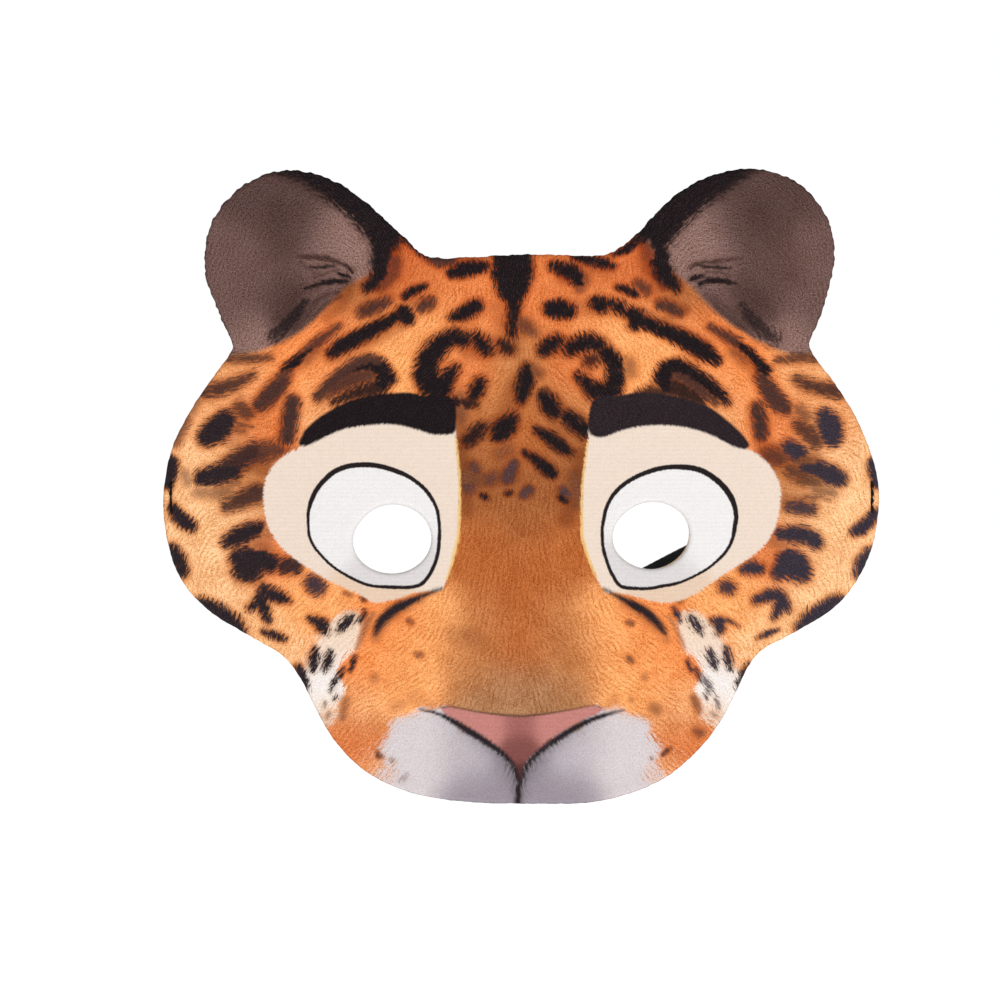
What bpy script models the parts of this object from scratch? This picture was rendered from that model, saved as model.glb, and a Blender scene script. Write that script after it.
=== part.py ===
"""Child's animal face mask: three bonded fabric layers with eye holes, and a flat elastic head strap.

Frame: metres, +Z up, +X to the right of someone looking at the printed face. The origin lies midway
between the eye holes on the side worn against the face; the printed face looks along -Y.
"""

import math

import bmesh
import bpy
from mathutils import Vector
from mathutils.geometry import delaunay_2d_cdt

MM = 0.001

# Layers, from the wearer's side (Y = 0) towards the printed face (-Y), in mm
LINING_T = 1.0
FOAM_T = 2.0
PLUSH_T = 1.6
GAP = 0.3  # clearance between solids that touch on the real laminate

# Eye holes: one oval die, used twice
EYE_X = 38.2
EYE_Z = 0.0
EYE_RX = 11.4
EYE_RZ = 10.0
EYE_SIDES = 36

# Die-cut outline: half of it in mm, from the middle of the forehead round to the chin, mirrored in X
FOREHEAD = [(0.0, 82.9), (15.0, 83.0), (25.6, 83.3)]
EAR = [
    (32.6, 87.0),
    (40.0, 94.6),
    (48.2, 101.6),
    (57.5, 106.8),
    (67.0, 108.3),
    (76.4, 106.4),
    (85.0, 101.0),
    (90.7, 93.2),
    (92.7, 83.6),
    (91.3, 73.4),
    (87.4, 62.8),
    (84.7, 56.8),
]
CHEEK = [
    (86.6, 52.6),
    (94.4, 41.6),
    (101.2, 29.4),
    (104.6, 18.6),
    (105.2, 9.0),
    (103.6, -1.6),
    (99.6, -11.9),
    (91.6, -20.9),
    (79.4, -28.6),
    (71.4, -33.8),
]
CHIN = [
    (65.4, -41.0),
    (60.0, -50.6),
    (54.6, -59.4),
    (46.0, -68.2),
    (33.0, -74.8),
    (17.0, -77.6),
    (0.0, -78.3),
]
EDGE_STEP = 4.6  # spacing of the outline's straight segments
FILL_STEP = 21.0  # spacing of the vertices inside each layer

# Sewn tacks that hold the strap: five needle holes in a vertical row near each side edge
TACK_X = 103.1
TACK_Z = 11.9
TACK_PITCH = 2.3
TACK_HOLES = 5
NEEDLE_HOLE_R = 0.55
THREAD_R = 0.22

# Elastic strap: its centre line at X, the drop below its hinge line and its twist in degrees
STRAP_W = 8.0
STRAP_T = 1.2
STRAP_TIP_X = 104.6
HINGE_X = 88.0
HINGE_Y = 5.0
HINGE_Z = 10.9
LEAN = 0.4  # how far the hanging loop stands back for each millimetre it drops
STRAP_RIGHT_DROP = [(88.0, 0.0, 0.0), (78.0, 3.6, 8.0), (66.0, 9.2, 18.0), (48.3, 17.5, 32.0), (35.1, 24.0, 42.0), (20.0, 31.4, 50.0)]
STRAP_LOW = [(5.0, 36.3, 54.0), (-8.0, 37.3, 54.0), (-20.0, 35.7, 52.0)]
STRAP_LEFT_DROP = [(-32.0, 31.7, 46.0), (-42.0, 26.9, 40.0), (-52.0, 20.8, 32.0), (-66.0, 11.3, 20.0), (-78.0, 4.2, 8.0), (-88.0, 0.0, 0.0)]
STRAP_STEP = 5.0


def material(name, rgb, roughness):
    mat = bpy.data.materials.new(name)
    mat.use_nodes = True
    bsdf = mat.node_tree.nodes["Principled BSDF"]
    bsdf.inputs["Base Color"].default_value = (*rgb, 1.0)
    bsdf.inputs["Roughness"].default_value = roughness
    bsdf.inputs["Metallic"].default_value = 0.0
    return mat


def new_object(name, bm, mat):
    bmesh.ops.remove_doubles(bm, verts=bm.verts, dist=1e-7)
    bmesh.ops.recalc_face_normals(bm, faces=bm.faces)
    mesh = bpy.data.meshes.new(name)
    bm.to_mesh(mesh)
    bm.free()
    mesh.materials.append(mat)
    obj = bpy.data.objects.new(name, mesh)
    bpy.context.scene.collection.objects.link(obj)
    return obj


def hermite(p0, p1, p2, p3, t):
    """A point on the smooth curve through p1 and p2, at t from 0 to 1."""
    out = []
    for a, b, c, d in zip(p0, p1, p2, p3):
        out.append(0.5 * (2 * b + (c - a) * t + (2 * a - 5 * b + 4 * c - d) * t * t + (3 * b - a - 3 * c + d) * t**3))
    return out


def closed_curve(points, step):
    """Points at about one step apart along the smooth closed curve through the given points."""
    out = []
    n = len(points)
    for i in range(n):
        p0, p1, p2, p3 = (points[(i + k - 1) % n] for k in range(4))
        pieces = max(2, round(math.dist(p1, p2) / step))
        out += [tuple(hermite(p0, p1, p2, p3, j / pieces)) for j in range(pieces)]
    return out


def outline():
    half = FOREHEAD + EAR + CHEEK + CHIN
    return closed_curve(half + [(-x, z) for x, z in reversed(half[1:-1])], EDGE_STEP)


def ellipse(cx, cz, rx, rz, sides):
    return [
        (cx + rx * math.cos(2 * math.pi * i / sides), cz + rz * math.sin(2 * math.pi * i / sides))
        for i in range(sides)
    ]


def inside(x, z, loop):
    hit = False
    for (x0, z0), (x1, z1) in zip(loop, loop[1:] + loop[:1]):
        if (z0 > z) != (z1 > z) and x < (x1 - x0) * (z - z0) / (z1 - z0) + x0:
            hit = not hit
    return hit


def tack_offsets():
    return [(i - (TACK_HOLES - 1) / 2) * TACK_PITCH for i in range(TACK_HOLES)]


def layer_holes():
    eyes = [ellipse(s * EYE_X, EYE_Z, EYE_RX, EYE_RZ, EYE_SIDES) for s in (-1, 1)]
    needle = [
        ellipse(s * TACK_X, TACK_Z + dz, NEEDLE_HOLE_R, NEEDLE_HOLE_R, 8)
        for s in (-1, 1)
        for dz in tack_offsets()
    ]
    return eyes + needle


def flat_layer(name, y_back, thickness, mat):
    """A flat sheet with the mask's outline and every hole, from y_back towards the printed side."""
    edge = outline()
    holes = layer_holes()
    points, edges = [], []
    for loop in [edge] + holes:
        first = len(points)
        points += [Vector(p) for p in loop]
        edges += [(first + i, first + (i + 1) % len(loop)) for i in range(len(loop))]
    rim = [p for loop in [edge] + holes for p in loop]
    reach = int(120 / FILL_STEP) + 1
    for i in range(-reach, reach + 1):
        for j in range(-reach, reach + 1):
            x, z = (i + 0.5 * (j % 2)) * FILL_STEP, j * FILL_STEP
            if inside(x, z, edge) and min(math.dist((x, z), p) for p in rim) > 0.35 * FILL_STEP:
                points.append(Vector((x, z)))
    verts, _, tris, _, _, _ = delaunay_2d_cdt(points, edges, [], 0, 1e-6, True)
    bm = bmesh.new()
    back = [bm.verts.new((v.x * MM, y_back * MM, v.y * MM)) for v in verts]
    front = [bm.verts.new((v.x * MM, (y_back - thickness) * MM, v.y * MM)) for v in verts]
    for tri in tris:
        cx = sum(verts[i].x for i in tri) / 3
        cz = sum(verts[i].y for i in tri) / 3
        if inside(cx, cz, edge) and not any(inside(cx, cz, h) for h in holes):
            bm.faces.new([back[i] for i in tri])
            bm.faces.new([front[i] for i in reversed(tri)])
    count = {}
    for f in bm.faces:
        for e in f.edges:
            count[e] = count.get(e, 0) + 1
    partner = dict(zip(back, front))
    for e in [e for e, uses in count.items() if uses == 1]:
        a, b = e.verts
        if a in partner and b in partner:
            bm.faces.new((a, b, partner[b], partner[a]))
    loose = [v for v in bm.verts if not v.link_faces]
    bmesh.ops.delete(bm, geom=loose, context="VERTS")
    return new_object(name, bm, mat)


def strap_points():
    """The strap's centre line from right to left: X, Y, Z in mm and the twist in degrees."""
    flat_y = GAP + STRAP_T / 2
    right = [(STRAP_TIP_X, flat_y, TACK_Z, 0.0), (TACK_X - 1.8, flat_y, TACK_Z, 0.0), (95.6, 2.35, TACK_Z - 0.1, 0.0)]
    left = [(-x, y, z, a) for x, y, z, a in reversed(right)]
    loop = [(x, HINGE_Y + LEAN * d, HINGE_Z - d, a) for x, d, a in STRAP_RIGHT_DROP + STRAP_LOW + STRAP_LEFT_DROP]
    return right + loop + left


def strap_at(x, points):
    """Centre, tangent and twist where the strap's centre line crosses X = x."""
    for i in range(len(points) - 1):
        if points[i][0] >= x >= points[i + 1][0]:
            p0 = points[max(i - 1, 0)]
            p3 = points[min(i + 2, len(points) - 1)]
            lo, hi = 0.0, 1.0
            for _ in range(40):
                mid = (lo + hi) / 2
                if hermite(p0, points[i], points[i + 1], p3, mid)[0] > x:
                    lo = mid
                else:
                    hi = mid
            a = hermite(p0, points[i], points[i + 1], p3, max(mid - 0.01, 0.0))
            b = hermite(p0, points[i], points[i + 1], p3, min(mid + 0.01, 1.0))
            c = hermite(p0, points[i], points[i + 1], p3, mid)
            return Vector(c[:3]), Vector([b[k] - a[k] for k in range(3)]).normalized(), c[3]
    raise ValueError("the strap does not reach this X")


def strap_section(x, points):
    """The four corners of the strap at X = x. Near the sewn ends the section stays square to X, so the
    loop can turn about its hinge line beside them."""
    centre, tangent, twist = strap_at(x, points)
    square = min(1.0, max(0.0, (abs(x) - 70.0) / 12.0))
    along = (tangent * (1 - square) + Vector((-1, 0, 0)) * square).normalized()
    up = Vector((0, math.sin(math.radians(twist)), math.cos(math.radians(twist))))
    width = (up - along * up.dot(along)).normalized() * STRAP_W / 2
    thick = along.cross(width).normalized() * STRAP_T / 2
    return [(centre + w * width + t * thick) * MM for w, t in ((1, 1), (1, -1), (-1, -1), (-1, 1))]


def strap_piece(name, x_from, x_to, mat):
    points = strap_points()
    n = max(4, round(abs(x_from - x_to) * 1.12 / STRAP_STEP))
    bm = bmesh.new()
    rings = [
        [bm.verts.new(p) for p in strap_section(x_from + (x_to - x_from) * i / n, points)] for i in range(n + 1)
    ]
    for a, b in zip(rings, rings[1:]):
        for k in range(4):
            bm.faces.new((a[k], a[(k + 1) % 4], b[(k + 1) % 4], b[k]))
    bm.faces.new(rings[0])
    bm.faces.new(list(reversed(rings[-1])))
    bmesh.ops.triangulate(bm, faces=bm.faces)
    return new_object(name, bm, mat)


def cylinder_y(bm, x, z, y0, y1, radius, sides):
    """A closed cylinder along Y, in mm."""
    rings = [
        [
            bm.verts.new(
                (
                    (x + radius * math.cos(2 * math.pi * i / sides)) * MM,
                    y * MM,
                    (z + radius * math.sin(2 * math.pi * i / sides)) * MM,
                )
            )
            for i in range(sides)
        ]
        for y in (y0, y1)
    ]
    for i in range(sides):
        j = (i + 1) % sides
        bm.faces.new((rings[0][i], rings[0][j], rings[1][j], rings[1][i]))
    bm.faces.new(rings[0])
    bm.faces.new(list(reversed(rings[1])))


def needle_cutter(name, side):
    bm = bmesh.new()
    for dz in tack_offsets()[1:-1]:
        cylinder_y(bm, side * TACK_X, TACK_Z + dz, -1.0, 3.5, NEEDLE_HOLE_R, 8)
    cutter = new_object(name, bm, STRAP_MAT)
    cutter.hide_render = True
    cutter.display_type = "WIRE"
    return cutter


def cut(obj, cutter):
    mod = obj.modifiers.new("needle_holes", "BOOLEAN")
    mod.operation = "DIFFERENCE"
    mod.solver = "EXACT"
    mod.object = cutter


def thread(name, side, bar_y, end_y, mat):
    """One thread of a lockstitch: a bar along the row of needle holes with a leg into each hole.

    The bar is a comb-shaped plate cut in the plane X = side * TACK_X, so it is a single closed body."""
    r = THREAD_R
    out = -1 if bar_y < end_y else 1
    offsets = tack_offsets()
    outer, inner = bar_y + out * r, bar_y - out * r
    profile = [(outer, offsets[0] - r), (outer, offsets[-1] + r)]
    for dz in reversed(offsets):
        if dz != offsets[-1]:
            profile.append((inner, dz + r))
        profile += [(end_y, dz + r), (end_y, dz - r)]
        if dz != offsets[0]:
            profile.append((inner, dz - r))
    bm = bmesh.new()
    face = bm.faces.new([bm.verts.new(((side * TACK_X - r) * MM, y * MM, (TACK_Z + z) * MM)) for y, z in profile])
    ext = bmesh.ops.extrude_face_region(bm, geom=[face])
    bmesh.ops.translate(
        bm, verts=[v for v in ext["geom"] if isinstance(v, bmesh.types.BMVert)], vec=(2 * r * MM, 0, 0)
    )
    bmesh.ops.triangulate(bm, faces=bm.faces)
    return new_object(name, bm, mat)


for existing in list(bpy.data.objects):
    bpy.data.objects.remove(existing, do_unlink=True)

PLUSH_MAT = material("printed_plush", (0.62, 0.30, 0.10), 0.95)
FOAM_MAT = material("foam", (0.62, 0.48, 0.33), 0.9)
FELT_MAT = material("felt", (0.045, 0.042, 0.045), 0.97)
STRAP_MAT = material("elastic", (0.012, 0.012, 0.013), 0.8)
THREAD_MAT = material("thread", (0.015, 0.014, 0.014), 0.6)

foam_back = -(LINING_T + GAP)
plush_back = foam_back - FOAM_T - GAP
plush_front = plush_back - PLUSH_T

flat_layer("back_lining", 0.0, LINING_T, FELT_MAT)
flat_layer("foam_core", foam_back, FOAM_T, FOAM_MAT)
flat_layer("face_plush", plush_back, PLUSH_T, PLUSH_MAT)

hinge = bpy.data.objects.new("strap_hinge_line", None)
hinge.location = (0.0, HINGE_Y * MM, HINGE_Z * MM)
bpy.context.scene.collection.objects.link(hinge)
bpy.context.view_layer.update()

loop = strap_piece("strap_loop", HINGE_X - GAP / 2, -HINGE_X + GAP / 2, STRAP_MAT)
loop.parent = hinge
loop.matrix_parent_inverse = hinge.matrix_world.inverted()

lock_y = (plush_front + GAP + STRAP_T) / 2  # where the two threads lock, inside the layers
for word, side in (("left", -1), ("right", 1)):
    end = strap_piece(f"strap_end_{word}", side * STRAP_TIP_X, side * (HINGE_X + GAP / 2), STRAP_MAT)
    cut(end, needle_cutter(f"needle_cutter_{word}", side))
    thread(f"needle_thread_{word}", side, plush_front - GAP - THREAD_R, lock_y - GAP / 2, THREAD_MAT)
    thread(f"bobbin_thread_{word}", side, GAP + STRAP_T + GAP + THREAD_R, lock_y + GAP / 2, THREAD_MAT)
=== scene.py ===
"""Visual model of the child's plush wild-cat mask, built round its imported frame.

The printed plush, the foam, the felt lining, the tacks and the elastic strap are each made as mesh here.
The print is drawn with named shapes on a drawing grid: U runs to the right, V runs down, 3.4 steps to a
millimetre, and the middle of the eye line is at (521.3, 537.5). Each shape becomes a smooth field on the
plush's vertices, and the plush material turns the fields into fur-edged markings.
"""

import math

import bmesh
import bpy
import numpy as np
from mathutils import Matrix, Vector, noise
from mathutils.geometry import delaunay_2d_cdt


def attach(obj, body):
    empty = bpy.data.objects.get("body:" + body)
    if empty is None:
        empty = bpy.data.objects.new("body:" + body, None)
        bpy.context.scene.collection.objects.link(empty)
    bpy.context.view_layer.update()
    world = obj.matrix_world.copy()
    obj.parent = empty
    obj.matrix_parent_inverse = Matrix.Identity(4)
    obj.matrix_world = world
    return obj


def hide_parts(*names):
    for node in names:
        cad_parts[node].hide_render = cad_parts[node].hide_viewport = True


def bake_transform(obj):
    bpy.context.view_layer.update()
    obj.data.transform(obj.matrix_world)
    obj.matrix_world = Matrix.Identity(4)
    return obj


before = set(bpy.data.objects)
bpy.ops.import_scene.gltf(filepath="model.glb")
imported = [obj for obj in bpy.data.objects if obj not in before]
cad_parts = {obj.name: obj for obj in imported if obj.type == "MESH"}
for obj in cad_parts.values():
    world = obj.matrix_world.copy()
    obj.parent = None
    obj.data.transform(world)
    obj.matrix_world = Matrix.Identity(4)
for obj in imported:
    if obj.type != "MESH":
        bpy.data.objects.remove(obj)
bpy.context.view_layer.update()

MM = 0.001
GRID = 0.29412  # one drawing step in mm
U_MID, V_MID = 521.3, 537.5

# Layers in mm: Y = 0 is the wearer's side, the print looks along -Y
LINING = (0.0, -1.12)
FOAM = (-1.16, -3.38)
PLUSH = (-3.42, -5.2)


def to_x(u):
    return (u - U_MID) * GRID


def to_z(v):
    return (V_MID - v) * GRID


def ramp(x, lo, hi):
    t = np.clip((np.asarray(x, dtype=float) - lo) / (hi - lo), 0.0, 1.0)
    return t * t * (3.0 - 2.0 * t)


# ---------------------------------------------------------------- camera, light and floor


def make_camera():
    cam = bpy.data.cameras.new("camera")
    cam.sensor_width = 36.0
    distance = 1.2
    cam.lens = 36.0 * distance / 0.2941
    cam.clip_end = 60.0
    obj = bpy.data.objects.new("camera", cam)
    obj.location = (to_x(500.0) * MM, -distance - 0.005, to_z(500.0) * MM)
    obj.rotation_euler = (math.radians(90.0), 0.0, 0.0)
    bpy.context.scene.collection.objects.link(obj)
    bpy.context.scene.camera = obj


def area_light(name, at, aim, size, watts, rgb=(1.0, 1.0, 1.0)):
    light = bpy.data.lights.new(name, "AREA")
    light.shape = "DISK"
    light.size = size
    light.energy = watts
    light.color = rgb
    obj = bpy.data.objects.new(name, light)
    obj.location = at
    obj.rotation_euler = (Vector(aim) - Vector(at)).to_track_quat("-Z", "Y").to_euler()
    bpy.context.scene.collection.objects.link(obj)


def make_studio():
    area_light("key_light", (0.95, -1.15, 0.75), (0.0, 0.0, 0.01), 0.7, 11.2)
    area_light("fill_light", (-1.1, -1.1, 0.35), (0.0, 0.0, 0.01), 1.0, 3.8)
    area_light("back_light", (-0.5, 1.4, 0.9), (0.0, 0.0, 0.01), 0.9, 9.0)

    world = bpy.data.worlds.new("soft_studio")
    bpy.context.scene.world = world
    world.use_nodes = True
    nt = world.node_tree
    back = nt.nodes["Background"]
    coord = nt.nodes.new("ShaderNodeTexCoord")
    split = nt.nodes.new("ShaderNodeSeparateXYZ")
    dome = nt.nodes.new("ShaderNodeMapRange")
    dome.interpolation_type = "SMOOTHSTEP"
    nt.links.new(coord.outputs["Generated"], split.inputs[0])
    nt.links.new(split.outputs["Z"], dome.inputs["Value"])
    for key, value in (("From Min", 0.16), ("From Max", 0.55), ("To Min", 1.02), ("To Max", 0.27)):
        dome.inputs[key].default_value = value
    nt.links.new(dome.outputs[0], back.inputs["Strength"])
    back.inputs["Color"].default_value = (1.0, 1.0, 1.0, 1.0)

    mesh = bpy.data.meshes.new("floor")
    size = 14.0
    mesh.from_pydata([(-size, -size, 0), (size, -size, 0), (size, size, 0), (-size, size, 0)], [], [(0, 1, 2, 3)])
    floor = bpy.data.objects.new("floor", mesh)
    floor.location = (0.0, 0.0, -0.30)
    bpy.context.scene.collection.objects.link(floor)
    mat = bpy.data.materials.new("pale_floor")
    mat.use_nodes = True
    bsdf = mat.node_tree.nodes["Principled BSDF"]
    bsdf.inputs["Base Color"].default_value = (0.86, 0.86, 0.86, 1.0)
    bsdf.inputs["Roughness"].default_value = 0.9
    bsdf.inputs["Emission Color"].default_value = (1.0, 1.0, 1.0, 1.0)
    bsdf.inputs["Emission Strength"].default_value = 0.76
    mesh.materials.append(mat)

    scene = bpy.context.scene
    scene.view_settings.view_transform = "Standard"
    scene.view_settings.look = "None"
    scene.view_settings.exposure = 0.0
    scene.view_settings.gamma = 1.0


# ---------------------------------------------------------------- material helpers


class Shader:
    """A Principled material and short names for the nodes that feed it."""

    def __init__(self, name, **sockets):
        self.mat = bpy.data.materials.new(name)
        self.mat.use_nodes = True
        self.nt = self.mat.node_tree
        self.bsdf = self.nt.nodes["Principled BSDF"]
        for key, value in sockets.items():
            socket = self.bsdf.inputs[key.replace("_", " ")]
            socket.default_value = value

    def node(self, kind, **props):
        n = self.nt.nodes.new(kind)
        for key, value in props.items():
            setattr(n, key, value)
        return n

    def put(self, socket, value):
        if isinstance(value, bpy.types.NodeSocket):
            self.nt.links.new(value, socket)
        elif isinstance(value, (tuple, list)) and socket.type == "RGBA" and len(value) == 3:
            socket.default_value = (*value, 1.0)
        else:
            socket.default_value = value

    def math(self, op, a, b=None, c=None, clamp=False):
        n = self.node("ShaderNodeMath", operation=op, use_clamp=clamp)
        for k, value in enumerate((a, b, c)):
            if value is not None:
                self.put(n.inputs[k], value)
        return n.outputs[0]

    def add(self, a, b):
        return self.math("ADD", a, b)

    def sub(self, a, b):
        return self.math("SUBTRACT", a, b)

    def mul(self, a, b):
        return self.math("MULTIPLY", a, b)

    def scaled(self, vec, factor):
        n = self.node("ShaderNodeVectorMath", operation="SCALE")
        self.put(n.inputs[0], vec)
        self.put(n.inputs["Scale"], factor)
        return n.outputs[0]

    def mix(self, fac, a, b, blend="MIX"):
        n = self.node("ShaderNodeMix", data_type="RGBA", blend_type=blend)
        self.put(n.inputs[0], fac)
        self.put(n.inputs[6], a)
        self.put(n.inputs[7], b)
        return n.outputs[2]

    def smooth(self, x, lo, hi, to_lo=0.0, to_hi=1.0):
        n = self.node("ShaderNodeMapRange", interpolation_type="SMOOTHSTEP")
        for key, value in (("Value", x), ("From Min", lo), ("From Max", hi), ("To Min", to_lo), ("To Max", to_hi)):
            self.put(n.inputs[key], value)
        return n.outputs[0]

    def attr(self, name):
        return self.node("ShaderNodeAttribute", attribute_name=name)

    def noise(self, vec, scale, detail=2.0, rough=0.5):
        n = self.node("ShaderNodeTexNoise")
        self.put(n.inputs["Vector"], vec)
        n.inputs["Scale"].default_value = scale
        n.inputs["Detail"].default_value = detail
        n.inputs["Roughness"].default_value = rough
        return n.outputs[0]

    def gabor(self, vec, scale, freq, turn, aniso=1.0):
        n = self.node("ShaderNodeTexGabor")
        n.gabor_type = "2D"
        self.put(n.inputs["Vector"], vec)
        n.inputs["Scale"].default_value = scale
        n.inputs["Frequency"].default_value = freq
        n.inputs["Anisotropy"].default_value = aniso
        self.put(n.inputs[4], turn)
        return n.outputs[0]

    def bump(self, height, distance, strength=1.0):
        n = self.node("ShaderNodeBump")
        n.inputs["Strength"].default_value = strength
        n.inputs["Distance"].default_value = distance
        self.put(n.inputs["Height"], height)
        self.put(self.bsdf.inputs["Normal"], n.outputs[0])

    def object_mm(self):
        return self.scaled(self.node("ShaderNodeTexCoord").outputs["Object"], 1000.0)


def rgb(r, g, b):
    """A colour given as 0-255 screen values, as linear light."""
    out = []
    for c in (r, g, b):
        c = c / 255.0
        out.append(c / 12.92 if c <= 0.04045 else ((c + 0.055) / 1.055) ** 2.4)
    return tuple(out)


# ---------------------------------------------------------------- curves and fields


def curve(points, step, closed=True):
    """A smooth curve through the points, as an array with a point about every step."""
    pts = np.array(points, dtype=float)
    n = len(pts)
    out = []
    for i in range(n if closed else n - 1):
        if closed:
            p0, p1, p2, p3 = pts[(i - 1) % n], pts[i], pts[(i + 1) % n], pts[(i + 2) % n]
        else:
            p0, p1, p2, p3 = pts[max(i - 1, 0)], pts[i], pts[i + 1], pts[min(i + 2, n - 1)]
        pieces = max(1, int(round(np.linalg.norm(p2 - p1) / step)))
        t = (np.arange(pieces) / pieces)[:, None]
        out.append(
            0.5 * (2 * p1 + (p2 - p0) * t + (2 * p0 - 5 * p1 + 4 * p2 - p3) * t**2 + (3 * p1 - p0 - 3 * p2 + p3) * t**3)
        )
    if not closed:
        out.append(pts[-1:])
    return np.concatenate(out)


def grid_curve(points, step=1.0, closed=True):
    """A smooth curve given on the drawing grid, as X and Z in mm."""
    line = curve(points, step / GRID, closed)
    return np.stack([to_x(line[:, 0]), to_z(line[:, 1])], axis=1)


def inside(p, loop):
    hit = np.zeros(len(p), dtype=bool)
    x, z = p[:, 0], p[:, 1]
    for (x0, z0), (x1, z1) in zip(loop, np.roll(loop, -1, axis=0)):
        if z0 == z1:
            continue
        cross = ((z0 > z) != (z1 > z)) & (x < (x1 - x0) * (z - z0) / (z1 - z0) + x0)
        hit ^= cross
    return hit


def line_distance(p, a, b):
    ab = b - a
    t = np.clip(((p - a) @ ab) / max(float(ab @ ab), 1e-9), 0.0, 1.0)
    return np.hypot(p[:, 0] - a[0] - t * ab[0], p[:, 1] - a[1] - t * ab[1]), t


def loop_distance(p, loop, closed=True):
    best = np.full(len(p), 1e9)
    ends = np.roll(loop, -1, axis=0) if closed else loop[1:]
    for a, b in zip(loop, ends):
        best = np.minimum(best, line_distance(p, a, b)[0])
    return best


def near(p, pts, reach):
    lo, hi = pts.min(axis=0) - reach, pts.max(axis=0) + reach
    return np.nonzero((p[:, 0] > lo[0]) & (p[:, 0] < hi[0]) & (p[:, 1] > lo[1]) & (p[:, 1] < hi[1]))[0]


def signed_loop(p, loop, reach=8.0):
    """Distance in mm to a closed loop, positive inside it, and never less than -reach."""
    out = np.full(len(p), -reach)
    idx = near(p, loop, reach)
    if len(idx):
        q = p[idx]
        d = loop_distance(q, loop)
        out[idx] = np.where(inside(q, loop), d, -np.minimum(d, reach))
    return out


def blobs(p, table, sharp=1.0):
    """A smooth blend of values placed on the drawing grid: rows of (u, v, radius, value...)."""
    total = np.zeros((len(p), len(table[0]) - 3))
    weight = np.zeros(len(p))
    for row in table:
        d2 = (p[:, 0] - to_x(row[0])) ** 2 + (p[:, 1] - to_z(row[1])) ** 2
        r = row[2] * GRID
        w = np.exp(-sharp * d2 / (r * r)) + 1e-5 * np.exp(-d2 / (900.0 + 9.0 * r * r)) + 1e-12
        total += w[:, None] * np.array(row[3:])
        weight += w
    return total / weight[:, None]


def colour_blobs(p, table, sharp=1.0):
    return blobs(p, [(u, v, r, *rgb(*c)) for u, v, r, c in table], sharp)


# ---------------------------------------------------------------- the drawing: outline and eye holes

OUTLINE = [
    (521, 254.5), (560, 255.5), (595, 255.5), (614, 251.5), (638, 233), (662, 207.5), (686, 188), (712, 175.5),
    (746, 168.5), (775, 172), (800, 184.5), (820, 205), (832, 231), (834.5, 258), (829, 288), (818, 322),
    (810.5, 338), (809.8, 347), (816, 359), (835, 384), (855, 416), (870, 451), (878, 483), (878, 512),
    (871.5, 548), (855, 583), (830, 610.5), (790, 634.5), (763, 649), (749, 665), (734, 696), (718, 725),
    (697, 751), (668, 776), (630, 793.5), (590, 802.5), (545, 803.8), (519, 803.6), (480, 802.8), (440, 799),
    (402, 790), (365, 771), (336, 742.5), (316, 709), (299, 675.5), (282, 655), (252, 637), (213, 613.5),
    (187, 588), (172, 558), (164.3, 520), (164.6, 484), (173, 446), (191, 410), (216, 373), (230.5, 353),
    (232, 342), (222, 320), (208, 284), (204.8, 256), (212, 220.5), (236, 190.5), (262, 175.5), (290, 169.8),
    (322, 176), (350, 190), (376, 211), (405, 238.5), (421, 253), (436, 257.8), (475, 257.3),
]  # fmt: skip


def fray(line, seed, fine, ears):
    """The outline with the small unevenness of cut pile, stronger round the ears."""
    rng = np.random.default_rng(seed)
    nxt, prv = np.roll(line, -1, axis=0), np.roll(line, 1, axis=0)
    tangent = nxt - prv
    tangent /= np.linalg.norm(tangent, axis=1)[:, None]
    normal = np.stack([tangent[:, 1], -tangent[:, 0]], axis=1)
    push = rng.normal(0.0, 1.0, len(line))
    tooth = (push + 0.9 * np.roll(push, 1) + 0.5 * np.roll(push, 2) + 0.5 * np.roll(push, -1)) / 1.5
    amount = fine + (ears - fine) * ramp(line[:, 1], 54.0, 66.0)
    return line + normal * (np.clip(tooth, -1.7, 1.7) * amount)[:, None]


def eye_loop(side, grow=0.0, step=0.55):
    """The die-cut eye hole. grow moves the edge outwards; a negative value leaves material in the hole."""
    if side < 0:
        cu, cv, ru, rv = 392.0, 539.0, 39.3, 34.9
        lobes = ((210.0, 0.9, 34.0), (140.0, -1.6, 30.0), (30.0, 0.5, 40.0))
    else:
        cu, cv, ru, rv = 651.5, 535.5, 38.3, 34.0
        lobes = ((200.0, 1.4, 34.0), (45.0, 0.8, 34.0), (130.0, -1.2, 30.0))
    n = int(2 * math.pi * 11.0 / step)
    a = np.arange(n) * 2 * math.pi / n
    stretch = np.ones(n)
    for deg, push, wide in lobes:
        delta = (np.degrees(a) - deg + 180.0) % 360.0 - 180.0
        stretch += push / 37.0 * np.exp(-((delta / wide) ** 2))
    u = cu + ru * stretch * np.cos(a)
    v = cv - rv * stretch * np.sin(a)
    loop = np.stack([to_x(u), to_z(v)], axis=1)
    mid = np.array([to_x(cu), to_z(cv)])
    arm = loop - mid
    return loop + arm / np.linalg.norm(arm, axis=1)[:, None] * (grow if np.isscalar(grow) else grow(a)[:, None])


# ---------------------------------------------------------------- the drawing: markings
# A marking is (kind, soft edge in mm, strength 0-1, chain). The chain's points are (u, v, radius) on the grid.

INK = {
    "K": (40, 30, 34),
    "KB": (54, 46, 56),
    "B": (66, 43, 38),
    "M": (118, 76, 54),
    "G": (76, 56, 58),
    "D": (26, 17, 20),
}

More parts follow.
